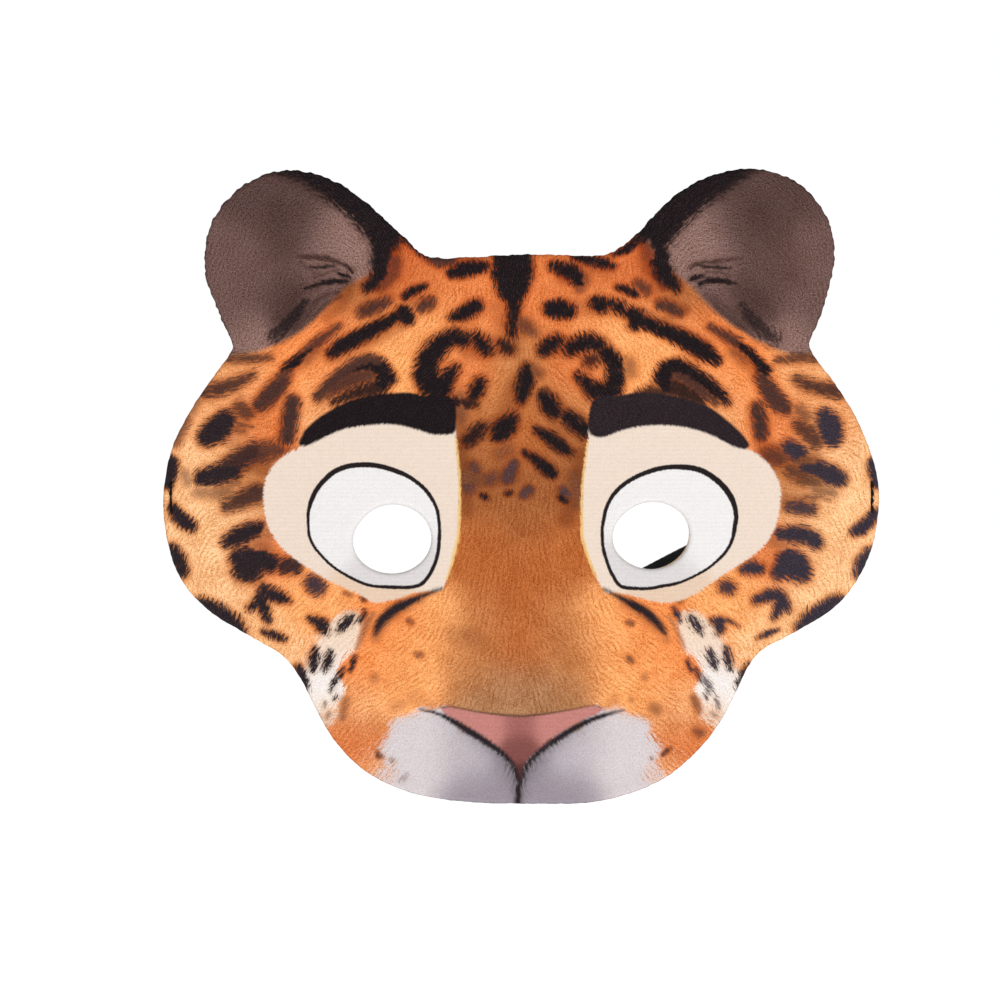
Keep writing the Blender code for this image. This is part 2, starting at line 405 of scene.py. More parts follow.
SPOTS_LEFT = [
    ("K", 0.9, 1.0, [(207, 437, 9), (216, 430, 12), (225, 421, 10)]),
    ("B", 1.0, 0.75, [(240, 408, 5.5), (247, 413, 5)]),
    ("B", 0.6, 0.7, [(226, 421, 2.2), (240, 425, 1.6), (251, 427, 1)]),
    ("B", 0.6, 0.6, [(232, 430, 1.6), (246, 432, 1)]),
    ("B", 1.0, 1.0, [(293, 402, 6), (290, 420, 6.5), (287, 438, 6)]),
    ("K", 0.9, 0.7, [(290, 410, 3), (287, 432, 3)]),
    ("K", 0.9, 1.0, [(202, 478, 7.5), (216, 475, 9.5), (232, 470, 9)]),
    ("K", 1.0, 0.9, [(228, 466, 7), (243, 458, 9), (256, 451, 9)]),
    ("B", 1.2, 0.85, [(258, 452, 9), (274, 450, 7.5), (282, 450, 3)]),
    ("K", 1.0, 0.85, [(227, 507, 4.5), (242, 500, 7), (257, 493, 8)]),
    ("K", 0.7, 0.6, [(236, 504, 2.5), (252, 494, 4)]),
    ("B", 0.5, 0.7, [(218, 499, 0.8), (232, 497, 1.2), (245, 494, 1.2)]),
    ("B", 0.5, 0.6, [(210, 489, 0.8), (224, 487, 1.1), (240, 483, 1)]),
    ("K", 0.7, 1.0, [(171, 463, 6.5), (169, 473, 8), (167, 483, 5.5)]),
    ("B", 1.2, 0.5, [(198, 492, 3), (214, 493, 4), (228, 492, 3)]),
    ("B", 1.0, 0.5, [(184, 474, 3), (188, 482, 3)]),
    ("K", 0.7, 1.0, [(173, 508, 4), (177, 515, 6), (184, 521, 6.5), (191, 526, 5)]),
    ("K", 0.9, 1.0, [(228, 542, 6), (239, 536, 8), (251, 531, 8), (260, 529, 6)]),
    ("M", 1.0, 0.4, [(262, 530, 5), (270, 536, 3)]),
    ("K", 1.0, 1.0, [(240, 558, 10), (249, 563, 16), (261, 560, 12), (270, 563, 9)]),
    ("K", 1.0, 1.0, [(243, 571, 9.5), (254, 573, 8)]),
    ("K", 0.9, 0.95, [(284, 566, 7), (294, 566, 8)]),
    ("B", 1.2, 0.3, [(258, 546, 6), (268, 550, 5)]),
    ("K", 0.9, 1.0, [(172, 551, 6.5), (177, 560, 8.5), (182, 571, 6)]),
    ("KB", 1.0, 0.95, [(313, 583, 7), (317, 587, 7.5)]),
    ("K", 0.8, 1.0, [(264, 590, 5), (272, 594.5, 6.5), (282, 598, 4.5), (288, 600.5, 2)]),
    ("K", 0.8, 1.0, [(263, 597, 6.5), (257, 604, 4.2), (250, 607.5, 2.4)]),
    ("K", 0.8, 1.0, [(261, 600, 6), (264, 610, 5), (268, 620, 3)]),
    ("K", 0.9, 1.0, [(202, 606, 8), (219, 614, 9.5), (234, 626, 8.5), (239, 632, 6)]),
    ("K", 0.7, 1.0, [(263.5, 632, 1.2), (270, 634, 2.6), (278.5, 637, 3), (284.5, 639, 1.4)]),
    ("K", 0.8, 1.0, [(309, 618, 1.2), (316, 621.5, 4), (322, 625, 6.2), (324.5, 629.5, 4.4), (325.5, 634, 1.4)]),
    ("K", 0.8, 1.0, [(338, 631, 1.4), (342.5, 626, 3.8), (348.5, 620.5, 4.4), (352.5, 617, 2)]),
    ("K", 0.6, 1.0, [(360, 621.5, 2.1), (362.5, 616.5, 2.5), (365, 611.5, 1.5)]),
    ("B", 0.5, 1.0, [(362.6, 598, 2.0), (365, 600, 2.0)]),
    ("M", 0.6, 0.7, [(345, 593, 1.5), (350, 595, 1.2)]),
    ("K", 0.75, 1.0, [(315.4, 648.6, 1.8), (314.6, 656, 4.3), (313.5, 664, 4.3), (312.4, 670.5, 1.8)]),
    ("K", 0.75, 1.0, [(330.2, 651, 1.7), (328.8, 657, 3.9), (326.8, 664, 4), (324.4, 670, 1.8)]),
    ("K", 0.75, 1.0, [(298, 668, 3.2), (301, 676, 5.6), (304.5, 684, 4), (306, 690, 1.5)]),
    ("K", 0.5, 1.0, [(355, 657, 1.8), (352.5, 664, 2.6), (350, 671, 1.5)]),
    ("K", 0.6, 1.0, [(344, 668, 1.3), (340, 674, 2.9), (335.5, 680.5, 3.1), (332, 686.5, 2.2), (330.5, 691, 1.2)]),
    ("K", 0.5, 0.95, [(337, 695, 1.3), (335, 699, 1.7)]),
    ("B", 0.8, 0.5, [(346, 700, 1.2), (344, 708, 2), (342, 717, 1.6)]),
    ("B", 0.5, 0.7, [(325, 702, 1.6), (323.6, 706, 1.6)]),
    ("M", 0.5, 0.7, [(329, 713, 1.6), (326.8, 717, 1.3)]),
]  # fmt: skip

MUZZLE_LEFT = [
    ("B", 1.2, 0.4, [(420, 599, 1), (404, 606, 3), (389, 616, 4), (380, 628, 3.2), (376, 638, 1.5)]),
    ("B", 1.2, 0.35, [(624, 601, 1), (640, 611, 2.6), (653, 621, 3.4), (662, 631, 2.4), (667, 640, 1)]),
    ("M", 0.55, 0.85, [(409, 620.4, 2), (411, 622.6, 2.2)]),
    ("M", 0.6, 0.75, [(417, 654.4, 2), (421, 655, 2.2)]),
    ("M", 1.0, 0.25, [(395, 707, 2.4), (401, 704.6, 2.4)]),
    ("M", 0.8, 0.35, [(374, 678, 2.6)]),
    ("B", 0.5, 0.85, [(377.6, 752, 1.3), (379, 756.5, 2.1), (382.4, 756, 1.1)]),
    ("M", 0.5, 0.7, [(391, 759.5, 1.2), (394.6, 760.8, 1.6)]),
    ("M", 0.8, 0.4, [(401, 779.5, 1.4), (406, 777, 1.6)]),
    ("M", 1.6, 0.2, [(466, 636, 4), (476, 640, 4)]),
    ("M", 1.4, 0.15, [(452, 632, 4), (458, 640, 4)]),
]

FOREHEAD_LEFT = [
    ("D", 0.7, 1.0, [(332, 352.5, 4.5), (342, 346, 6.8), (356, 338.5, 7), (371, 330.5, 6.3), (386, 322.5, 5.2), (397, 316.5, 4)]),
    ("D", 0.8, 1.0, [(403, 313, 7), (407, 316.5, 7.5), (409, 320, 4)]),
    ("B", 0.9, 0.9, [(362, 313, 4), (373, 308, 5), (386, 302, 3)]),
    ("D", 0.6, 1.0, [(404, 297, 3), (413, 291, 4.6), (425, 286, 3)]),
    ("B", 0.9, 0.9, [(420, 309, 3), (426, 305, 5), (431, 301, 3)]),
    ("B", 0.8, 0.95, [(318, 397, 3.5), (328, 386, 4.5), (340, 375.5, 5.5), (354, 366, 6.5), (368, 361, 6.5), (378, 363, 6)]),
    ("D", 0.8, 1.0, [(340, 377, 2), (356, 368, 4.5), (370, 364.5, 5.5), (382, 369, 7.5), (387, 378, 8), (380, 386, 7.5)]),
    ("D", 0.9, 0.95, [(380, 388, 7), (368, 390, 7), (356, 392.5, 5.5), (344, 397, 4), (334, 402, 3)]),
    ("B", 1.0, 0.85, [(326, 394, 3.5), (340, 385, 5.5), (354, 378, 6.5), (368, 375, 6.5)]),
    ("B", 0.9, 0.95, [(259, 405, 5.5), (268, 397, 7.5), (277, 388, 7.5), (284, 380, 5)]),
    ("B", 0.8, 0.85, [(281, 377, 3.5), (287, 370, 4.5)]),
    ("D", 0.6, 1.0, [(283, 370, 3.5), (293, 363.5, 5.2), (303, 356, 4.8), (311, 349, 3.5)]),
    ("B", 0.8, 0.85, [(306, 352, 4), (315, 344.5, 3.8), (324, 337.5, 3), (333, 331, 2.2), (339, 326, 1.4)]),
    ("B", 1.3, 0.35, [(306, 358, 5), (316, 350, 4)]),
    ("B", 0.9, 0.85, [(228, 359, 3), (244, 358, 3.4), (258, 358.5, 2.6), (270, 357.5, 1.8)]),
    ("B", 1.0, 0.9, [(204, 393, 4), (217, 390, 5.5), (232, 385, 5), (245, 379, 3.2), (252, 375, 1.6)]),
    ("M", 0.9, 0.8, [(186, 420, 4), (180, 431, 4), (176, 442, 3.5)]),
    ("M", 0.9, 0.5, [(197, 400, 3), (192, 410, 3)]),
]  # fmt: skip

CENTRE = [
    ("D", 0.9, 1.0, [(513, 255, 18.5), (512.5, 272, 20), (512.5, 284, 16.5), (513, 294, 11)]),
    ("D", 1.0, 1.0, [(513.5, 298, 8), (514, 309, 5.5), (513.5, 322, 5.5), (512.5, 334, 3.5)]),
    ("B", 1.2, 0.7, [(519, 322, 4.5), (526, 327, 6), (533, 332, 3)]),
    ("D", 0.7, 1.0, [(452, 273, 4.5), (460, 270.5, 7), (472, 268.5, 6.5), (484, 267, 4.5)]),
    ("B", 0.8, 0.95, [(432, 259, 3), (440, 261, 5), (452, 259, 3)]),
    ("D", 0.8, 1.0, [(453, 317, 3.6), (461, 314, 5.8), (470, 309.5, 7), (477, 306, 5.6)]),
    ("D", 1.0, 1.0, [(464, 339, 7.2), (453, 337, 7.8), (444, 342, 8.6), (435, 350, 10), (428, 361, 11), (426, 372, 11.5)]),
    ("D", 1.0, 1.0, [(426, 374, 12), (431, 386, 12), (441, 388, 11), (446, 380, 8), (451, 373, 6), (455, 368.5, 3.6)]),
    ("D", 1.0, 1.0, [(475, 336, 3.4), (480, 342.5, 6.8), (487, 350, 5.2)]),
    ("D", 0.9, 0.95, [(456, 402, 5), (466, 403, 5), (474, 404, 3)]),
    ("D", 1.0, 0.95, [(503, 345, 4.5), (508, 348, 5), (511, 347, 3)]),
    ("D", 1.0, 1.0, [(480, 383, 5), (477, 390, 6.5), (474, 396, 5)]),
    ("D", 0.9, 1.0, [(527, 369, 5.5), (526, 380, 8), (523, 391, 7), (521, 400, 3.5)]),
    ("B", 1.0, 0.6, [(533, 370, 4), (539, 374, 3)]),
    ("D", 1.0, 1.0, [(544, 396, 6), (549, 404, 8.5), (553, 411, 7)]),
    ("D", 1.0, 1.0, [(568, 417, 6), (574, 422, 8), (583, 429, 7), (590, 431, 6)]),
    ("D", 0.9, 1.0, [(512, 419, 5), (508, 425, 8.5), (501, 431, 9.5), (497, 436, 5)]),
    ("D", 1.0, 0.95, [(481, 428, 5), (475, 434, 6.5), (468, 441, 5)]),
    ("D", 0.8, 1.0, [(537, 430, 2.5), (546, 435, 4.5), (555, 442, 6), (563, 448, 5.5), (569, 452, 3)]),
    ("D", 0.7, 1.0, [(525, 453, 2), (533, 458, 3.2), (541, 464, 5), (548, 470, 5.5), (553, 474, 4)]),
    ("G", 0.8, 0.95, [(514, 464, 3), (511, 470, 4.5), (507, 478, 4)]),
    ("G", 0.9, 0.85, [(473, 466, 3), (475, 470, 3)]),
    ("D", 0.6, 1.0, [(482, 495.5, 2.2), (486, 497.5, 2.2)]),
    ("D", 0.5, 1.0, [(507.5, 493.5, 2.6), (510, 493, 2.2)]),
    ("G", 0.7, 0.95, [(524.5, 494, 3.6), (528, 490.5, 3.8)]),
    ("D", 0.6, 1.0, [(561, 497, 3.4), (566, 500.5, 3)]),
    ("G", 0.8, 0.95, [(564, 491, 3.6), (567, 494, 3)]),
    ("G", 1.0, 0.7, [(466, 486, 4), (470, 488, 4)]),
    ("G", 1.0, 0.6, [(489, 480, 3.6), (493, 478, 3)]),
    ("M", 1.2, 0.6, [(466, 478, 7), (476, 480, 5)]),
    ("M", 1.2, 0.45, [(500, 453, 4), (508, 450, 4)]),
    ("M", 1.4, 0.6, [(460, 400, 4), (462, 415, 4)]),
    ("M", 1.4, 0.5, [(575, 480, 6), (580, 500, 5)]),
    ("D", 0.8, 1.0, [(553, 266, 4), (563, 269, 6), (573, 273, 7.5), (580, 282, 6)]),
    ("B", 1.0, 0.6, [(583, 281, 5), (580, 288, 3)]),
    ("D", 0.7, 1.0, [(574, 257, 2.5), (590, 260, 4), (604, 263, 4), (613, 266, 2)]),
    ("D", 0.8, 1.0, [(551, 309, 7), (560, 309, 9), (568, 311, 7)]),
    ("D", 0.9, 1.0, [(596, 303, 6), (601, 304.5, 7.5)]),
    ("D", 0.9, 1.0, [(611, 303, 3.5), (619, 307, 5.5), (626, 313, 3.5)]),
    ("D", 0.6, 1.0, [(617, 287, 2.4), (626, 289.5, 4.2), (635, 294, 4)]),
    ("D", 0.9, 1.0, [(632, 314, 6), (637, 318, 8), (635, 324, 6)]),
    ("D", 1.0, 1.0, [(544, 350, 6), (551, 345.5, 6.8), (557, 341.5, 5.8)]),
    ("D", 1.0, 1.0, [(571, 348, 6.8), (580, 344, 7.8), (590, 342.5, 7.8), (598, 345, 6.4)]),
    ("D", 1.2, 0.85, [(590, 360, 5.5), (596, 358, 5.5)]),
    ("D", 1.0, 1.0, [(606, 354, 8), (614, 362, 8.5), (616, 376, 8.5), (613, 388, 9.5), (605, 393, 9.5)]),
    ("D", 1.0, 1.0, [(604, 393, 9.5), (593, 390, 8), (584, 382, 5), (578, 376, 2.8)]),
    ("B", 0.9, 0.8, [(638, 284, 3.5), (647, 290, 3.5)]),
    ("M", 1.2, 0.55, [(629, 364, 4), (630, 372, 4)]),
]  # fmt: skip

FOREHEAD_RIGHT = [
    ("D", 0.7, 1.0, [(640, 321, 5.5), (652, 325.5, 6), (665, 331, 6.3), (679, 337, 7), (692, 344, 7.8), (703, 351, 8.2), (716, 360, 5)]),
    ("B", 0.9, 0.95, [(659, 304.5, 2.8), (669, 308, 4.4), (679, 313, 3)]),
    ("D", 0.8, 1.0, [(727, 402, 3), (721, 395.5, 5), (711, 387.5, 6.5), (699, 378, 7), (687, 370, 6.8), (676, 365.5, 6.5)]),
    ("D", 0.8, 1.0, [(676, 365.5, 6.5), (667, 368.5, 7.4), (663, 377, 8.5), (667, 386, 8)]),
    ("D", 0.9, 0.95, [(669, 386, 8), (679, 390, 8), (690, 395, 7), (701, 401, 5)]),
    ("D", 0.9, 0.9, [(640, 394, 3.5), (652, 391, 5), (664, 394, 5)]),
    ("B", 1.0, 0.9, [(678, 375, 5.5), (690, 382, 6.5), (703, 391, 6), (715, 400, 4)]),
    ("B", 0.8, 0.9, [(710, 327, 2), (719, 332, 3), (728, 337, 3.4), (738, 343, 3.6)]),
    ("D", 0.6, 1.0, [(738, 344, 3.4), (750, 353, 5), (757, 361, 4)]),
    ("D", 0.7, 1.0, [(757, 361, 4), (765, 370, 5.5)]),
    ("B", 0.9, 0.95, [(762, 378, 5.5), (767, 388, 7), (773, 397, 8), (780, 404, 7.5), (786, 409, 4.5)]),
    ("B", 1.2, 0.4, [(742, 358, 4), (735, 352, 4)]),
    ("B", 0.9, 0.85, [(778, 360, 2), (790, 359, 3), (802, 357, 3.6), (815, 358, 3)]),
    ("B", 1.0, 0.9, [(797, 379, 3), (808, 384, 4), (820, 388, 5), (834, 391, 5.5), (840, 393, 4)]),
    ("KB", 0.9, 1.0, [(825, 417, 8), (829, 426, 12), (832, 436, 10)]),
    ("B", 1.0, 0.6, [(800, 411, 4.5), (806, 417, 4.5)]),
    ("B", 1.0, 0.85, [(798, 425, 4), (808, 433, 6.5), (816, 442, 6)]),
    ("B", 0.6, 0.65, [(796, 426, 1.2), (808, 426, 2), (820, 428, 2)]),
    ("B", 1.0, 1.0, [(757, 408, 4.8), (760, 422, 6), (761, 435, 5.2)]),
    ("B", 1.3, 0.7, [(769, 455, 5.5), (779, 457, 6.5)]),
    ("KB", 0.9, 1.0, [(790, 448, 7), (798, 453, 8)]),
    ("KB", 0.9, 1.0, [(806, 467, 6), (819, 470, 8), (831, 475, 9), (839, 479, 7)]),
    ("B", 1.1, 0.6, [(800, 459, 5), (813, 464, 4)]),
    ("B", 1.1, 0.75, [(792, 472, 5), (806, 478, 6.5), (819, 482, 5)]),
    ("B", 0.9, 0.6, [(816, 490, 2.2), (832, 493, 3)]),
    ("KB", 0.9, 0.9, [(790, 507, 4.4), (801, 508, 6), (811, 510, 4.4)]),
    ("B", 0.5, 0.6, [(806, 497, 1.2), (820, 497, 1.2), (830, 501, 0.8)]),
    ("B", 0.5, 0.55, [(806, 486, 1.0), (820, 488, 1.0), (832, 487, 0.8)]),
    ("KB", 0.7, 1.0, [(873, 464, 5), (877, 474, 7), (878, 483, 4.6)]),
    ("KB", 0.7, 1.0, [(875, 514, 4), (869, 521, 5.2), (861, 528.5, 5.4), (854, 532, 3.6)]),
    ("KB", 0.9, 1.0, [(781, 535, 6), (794, 534, 7.4), (805, 535.5, 7.4), (813, 539.5, 7), (817, 543.5, 5)]),
    ("M", 1.1, 0.35, [(774, 541, 4), (785, 545, 4)]),
    ("KB", 0.9, 1.0, [(788, 561, 11.5), (795, 566, 13.5), (801, 572, 9.5)]),
    ("KB", 1.0, 1.0, [(779, 572, 7), (785, 568, 9.5)]),
    ("KB", 0.9, 1.0, [(743, 569.5, 3.2), (751, 568, 6.2), (759, 569, 4.4)]),
    ("KB", 0.9, 1.0, [(869, 555, 6.5), (865, 564, 9), (861, 573, 6)]),
    ("KB", 1.0, 0.95, [(725.5, 587, 5.4), (729, 588, 5.4)]),
    ("KB", 0.8, 1.0, [(756, 600.5, 3.2), (765, 596.5, 4.8), (776, 594.5, 5), (782, 598, 4.4)]),
    ("KB", 0.8, 1.0, [(781, 598, 5.2), (784, 604.5, 4.8), (788, 609, 2.2)]),
    ("KB", 0.8, 1.0, [(781, 603, 5.2), (777.5, 610.5, 4.2), (774, 617, 2.2)]),
    ("KB", 0.9, 1.0, [(837, 604.5, 8.5), (824, 612.5, 10), (810, 622, 9), (802, 628, 6)]),
    ("KB", 0.6, 1.0, [(757, 638, 1), (764, 635, 2.4), (772, 632, 2.4), (778, 629.5, 1)]),
    ("KB", 0.8, 1.0, [(713, 621, 2.6), (719, 622.5, 4.6), (720, 628, 4), (717.5, 633.5, 1.6)]),
    ("KB", 0.5, 0.9, [(727, 620, 2.4), (734, 623.5, 1.3), (739, 626.5, 0.6)]),
    ("KB", 0.8, 1.0, [(690.5, 618, 2.2), (695, 623, 4), (699.5, 629, 3.2), (701.5, 633.5, 1)]),
    ("KB", 0.6, 1.0, [(673.5, 608.5, 1.4), (677, 614, 2.6), (680.5, 621, 2)]),
    ("M", 0.6, 0.7, [(679, 602, 1.6), (682, 600, 1.3)]),
    ("KB", 0.75, 1.0, [(709, 650, 1.6), (711, 656, 3.4), (713.5, 662.5, 3.8), (715.5, 668, 1.6)]),
    ("KB", 0.75, 1.0, [(725.6, 648.5, 1.6), (726.6, 655, 3.4), (728.2, 662, 3.6), (730, 668.5, 1.5)]),
    ("K", 0.75, 1.0, [(750, 667, 3.4), (745.5, 675, 5.4), (741, 683, 4.4), (739, 688, 1.8)]),
    ("KB", 0.5, 1.0, [(687, 660, 1), (689, 665, 1.8), (691, 670.5, 1.2)]),
    ("KB", 0.6, 1.0, [(695.5, 669, 1.3), (698.5, 674.5, 2.3), (701.5, 681, 1.8)]),
    ("KB", 0.7, 0.85, [(704.5, 678, 1.2), (707.5, 684.5, 2.2), (711, 692, 1.4)]),
    ("B", 0.5, 0.95, [(704.5, 694, 1.2), (706.8, 698, 1.6)]),
    ("M", 0.8, 0.75, [(693.5, 698, 1.2), (696, 703.5, 2.2), (698.5, 709.5, 1.5)]),
    ("G", 0.6, 0.7, [(716, 699, 1.6), (719, 708, 1.8)]),
    ("M", 0.6, 0.6, [(712, 713, 1.2), (716, 716, 1.2)]),
    ("B", 0.8, 0.6, [(696, 731, 2), (700, 733, 2.5)]),
    ("B", 0.45, 0.9, [(663, 754.5, 1.5), (667.5, 750.5, 1.7), (669.6, 748.5, 0.9)]),
    ("M", 0.4, 0.85, [(650.9, 758.4, 1.5)]),
    ("M", 0.55, 0.85, [(628, 622.6, 2), (632, 623.4, 2)]),
    ("M", 0.6, 0.85, [(629.5, 658.5, 2.6), (631.5, 661.5, 2)]),
    ("M", 0.6, 0.45, [(631, 699.5, 1.6)]),
    ("M", 0.9, 0.5, [(653, 707, 2.4), (657, 710, 2.4)]),
    ("M", 0.7, 0.45, [(644.3, 677, 1.4)]),
]  # fmt: skip

EARS = [
    ("D", 0.9, 1.0, [(384, 238, 10), (381, 250, 10), (380, 262, 9), (380, 272, 8), (375, 281, 6), (367, 287, 4)]),
    ("D", 0.7, 1.0, [(386, 231, 7), (397, 233.5, 3.6), (409, 241, 2.8), (421, 251, 3), (434, 257.5, 2)]),
    ("B", 1.0, 0.5, [(395, 262, 5), (392, 274, 5), (384, 284, 4)]),
    ("D", 0.9, 1.0, [(658, 238, 7.5), (661, 250, 7), (660.5, 262, 9), (664, 273, 8.5), (670, 281, 7), (676, 287, 4)]),
    ("B", 1.0, 0.4, [(651, 237, 6), (648, 245, 4), (650, 256, 4)]),
    ("D", 0.6, 1.0, [(648, 230, 6), (637, 240, 4.2), (626, 249.5, 4), (614, 254.5, 2)]),
    # the folds of the left ear
    ("B", 0.5, 0.9, [(297, 256.5, 1.45), (310, 257, 2.61), (324, 258, 3.48), (334, 261, 2.32), (343, 264, 2.03), (352, 270, 2.32)]),
    ("D", 0.4, 1.0, [(318, 257.5, 2.61), (328, 258.5, 2.61)]),
    ("D", 0.4, 0.95, [(309, 267.4, 1.16), (322, 267, 1.74), (334, 266, 1.3)]),
    ("D", 0.4, 1.0, [(346, 265, 1.45), (350, 269, 2.03), (352, 272, 1.45)]),
    ("D", 0.4, 1.0, [(339, 273.5, 1.74), (345, 275.5, 2.32), (350, 277, 1.3)]),
    ("D", 0.4, 1.0, [(304, 289, 2), (314, 286, 2.2), (324, 282.5, 2.6), (335, 281, 3), (346, 281.5, 2.4)]),
    ("B", 0.5, 0.8, [(314, 278, 1.16), (326, 273, 1.16), (338, 270, 1.16)]),
    ("B", 0.5, 0.8, [(308, 309, 1.45), (317, 300, 2.03), (327, 295, 1.74), (338, 292.5, 1.16)]),
    ("D", 1.2, 0.9, [(304, 302, 4.5), (296, 314, 6.5), (286, 325, 7.5), (276, 334, 7)]),
    ("B", 1.8, 0.6, [(300, 292, 7), (286, 308, 7), (276, 322, 6)]),
    ("B", 0.5, 0.6, [(300, 262, 1.16), (314, 272, 1.16), (324, 276, 0.87)]),
    ("B", 0.6, 0.5, [(298, 274, 0.8), (308, 286, 1), (318, 290, 0.6)]),
    ("B", 0.5, 0.7, [(299, 327, 1.16), (308, 315, 1.74), (317, 304, 1.16)]),
    ("B", 0.5, 0.7, [(291, 334, 1.16), (299, 324, 1.74), (306, 314, 1.16)]),
    ("B", 0.5, 0.6, [(312, 319, 1.16), (320, 309, 1.45), (329, 300, 1.16)]),
    ("B", 0.5, 0.6, [(323, 308, 1.16), (331, 301, 1.45), (340, 296, 1.16)]),
    # the folds of the right ear
    ("B", 0.5, 0.9, [(742, 258, 0.8), (730, 260, 1.3), (716, 261.5, 2.1), (705, 262, 1.8), (696, 264, 1.74), (690, 268, 2.03)]),
    ("D", 0.4, 0.95, [(731, 268, 1.16), (720, 267.5, 1.74), (708, 267, 1.59), (698, 264.6, 1.45)]),
    ("D", 0.4, 1.0, [(703, 276, 1.9), (696, 277.2, 3), (691, 279, 2.2)]),
    ("D", 0.4, 1.0, [(738, 284, 1.4), (724, 281, 2.4), (711, 280, 3.2), (700, 284, 2.4)]),
    ("B", 0.5, 0.55, [(706, 294, 1.1), (716, 299, 1.5), (726, 307, 1.5), (734, 314, 1)]),
    ("B", 0.5, 0.7, [(730, 276, 1.01), (718, 272, 1.16), (706, 272, 1.01)]),
    ("B", 0.5, 0.65, [(709, 297, 1.16), (717, 306, 1.59), (725, 315, 1.16)]),
    ("B", 0.5, 0.65, [(722, 309, 1.16), (731, 318, 1.59), (739, 326, 1.16)]),
    ("B", 0.5, 0.6, [(733, 316, 1.16), (741, 325, 1.59), (749, 332, 1.16)]),
    ("D", 1.6, 0.85, [(744, 306, 4), (754, 320, 7), (764, 331, 8), (774, 338, 6)]),
    ("B", 2.2, 0.5, [(740, 288, 7), (754, 300, 8), (768, 316, 9)]),
    ("B", 2.6, 0.35, [(762, 212, 12), (776, 240, 14), (784, 270, 14)]),
    ("B", 2.6, 0.35, [(276, 214, 8), (275, 232, 12), (279, 250, 9)]),
]  # fmt: skip

SMUDGES = [
    (1.8, 0.55, [(332, 354, 11), (365, 338, 12), (400, 320, 13)]),
    (1.6, 0.65, [(334, 388, 9), (358, 376, 12), (378, 371, 11)]),
    (1.8, 0.50, [(264, 404, 11), (280, 382, 10), (304, 358, 8), (326, 336, 6)]),
    (1.6, 0.45, [(236, 410, 10), (252, 412, 8)]),
    (1.6, 0.45, [(206, 391, 7), (232, 386, 6), (248, 378, 4)]),
    (2.0, 0.50, [(230, 464, 12), (254, 460, 14), (268, 470, 10)]),
    (1.8, 0.30, [(226, 500, 9), (252, 492, 8)]),
    (2.0, 0.30, [(240, 540, 10), (262, 545, 10), (268, 556, 6)]),
    (1.8, 0.15, [(260, 594, 9), (266, 606, 7)]),
    (1.6, 0.35, [(314, 586, 10), (312, 592, 6)]),
    (1.8, 0.15, [(345, 620, 6), (360, 610, 5)]),
    (1.8, 0.45, [(291, 402, 8), (286, 438, 8)]),
    (1.8, 0.45, [(350, 284, 7), (342, 304, 8), (328, 316, 7)]),
    (1.8, 0.45, [(240, 420, 12), (232, 440, 12)]),
    (1.8, 0.60, [(392, 248, 9), (391, 270, 10), (380, 288, 8)]),
    (1.8, 0.45, [(366, 308, 8), (390, 298, 7)]),
    (1.8, 0.45, [(408, 296, 8), (430, 304, 9)]),
    (1.6, 0.55, [(425, 258, 5), (448, 262, 8), (470, 262, 7), (490, 264, 5)]),
    (2.0, 0.25, [(458, 322, 8), (476, 318, 8)]),
    (2.0, 0.35, [(496, 306, 7), (502, 322, 9), (512, 338, 11), (524, 330, 9)]),
    (2.0, 0.45, [(470, 350, 12), (494, 346, 13), (512, 352, 9)]),
    (2.0, 0.40, [(520, 385, 14), (500, 428, 12), (472, 436, 10)]),
    (2.0, 0.45, [(455, 400, 6), (462, 430, 8), (462, 470, 8), (468, 510, 7)]),
    (2.0, 0.40, [(470, 480, 9), (510, 476, 12)]),
    (2.0, 0.40, [(560, 424, 12), (584, 432, 9)]),
    (2.0, 0.45, [(580, 455, 8), (577, 490, 9), (566, 520, 9)]),
    (1.8, 0.45, [(552, 400, 11), (562, 412, 9)]),
    (2.0, 0.50, [(548, 346, 11), (570, 348, 12), (598, 345, 13)]),
    (2.0, 0.45, [(590, 360, 9), (584, 376, 8)]),
    (2.0, 0.50, [(564, 275, 11), (588, 268, 9), (606, 268, 8)]),
    (1.8, 0.40, [(560, 310, 11), (600, 306, 11), (620, 310, 9)]),
    (1.8, 0.60, [(646, 246, 9), (648, 266, 9), (662, 284, 8)]),
    (1.8, 0.55, [(640, 318, 11), (668, 328, 11), (704, 350, 12)]),
    (1.6, 0.45, [(662, 302, 7), (684, 310, 8)]),
    (1.6, 0.65, [(672, 372, 10), (690, 378, 11), (708, 390, 9)]),
    (1.8, 0.50, [(724, 336, 7), (748, 358, 9), (766, 388, 11), (780, 404, 9)]),
    (1.8, 0.45, [(800, 386, 6), (834, 391, 8)]),
    (1.8, 0.45, [(802, 424, 9), (816, 438, 10)]),
    (1.8, 0.45, [(760, 406, 8), (763, 440, 8)]),
    (2.2, 0.60, [(766, 452, 12), (790, 458, 14), (812, 462, 12)]),
    (1.8, 0.45, [(786, 500, 9), (812, 503, 9)]),
    (2.0, 0.25, [(778, 540, 9), (798, 545, 8)]),
    (1.8, 0.12, [(762, 595, 7), (780, 599, 7)]),
    (1.8, 0.20, [(724, 588, 7), (726, 592, 6)]),
    (1.8, 0.10, [(692, 618, 6), (680, 612, 5)]),
    (2.4, 0.15, [(562, 640, 8), (570, 670, 8), (580, 695, 7)]),
    (1.8, 0.35, [(412, 697, 8), (432, 707, 6)]),
    (1.6, 0.40, [(604, 709, 4), (614, 700, 7)]),
]  # fmt: skip

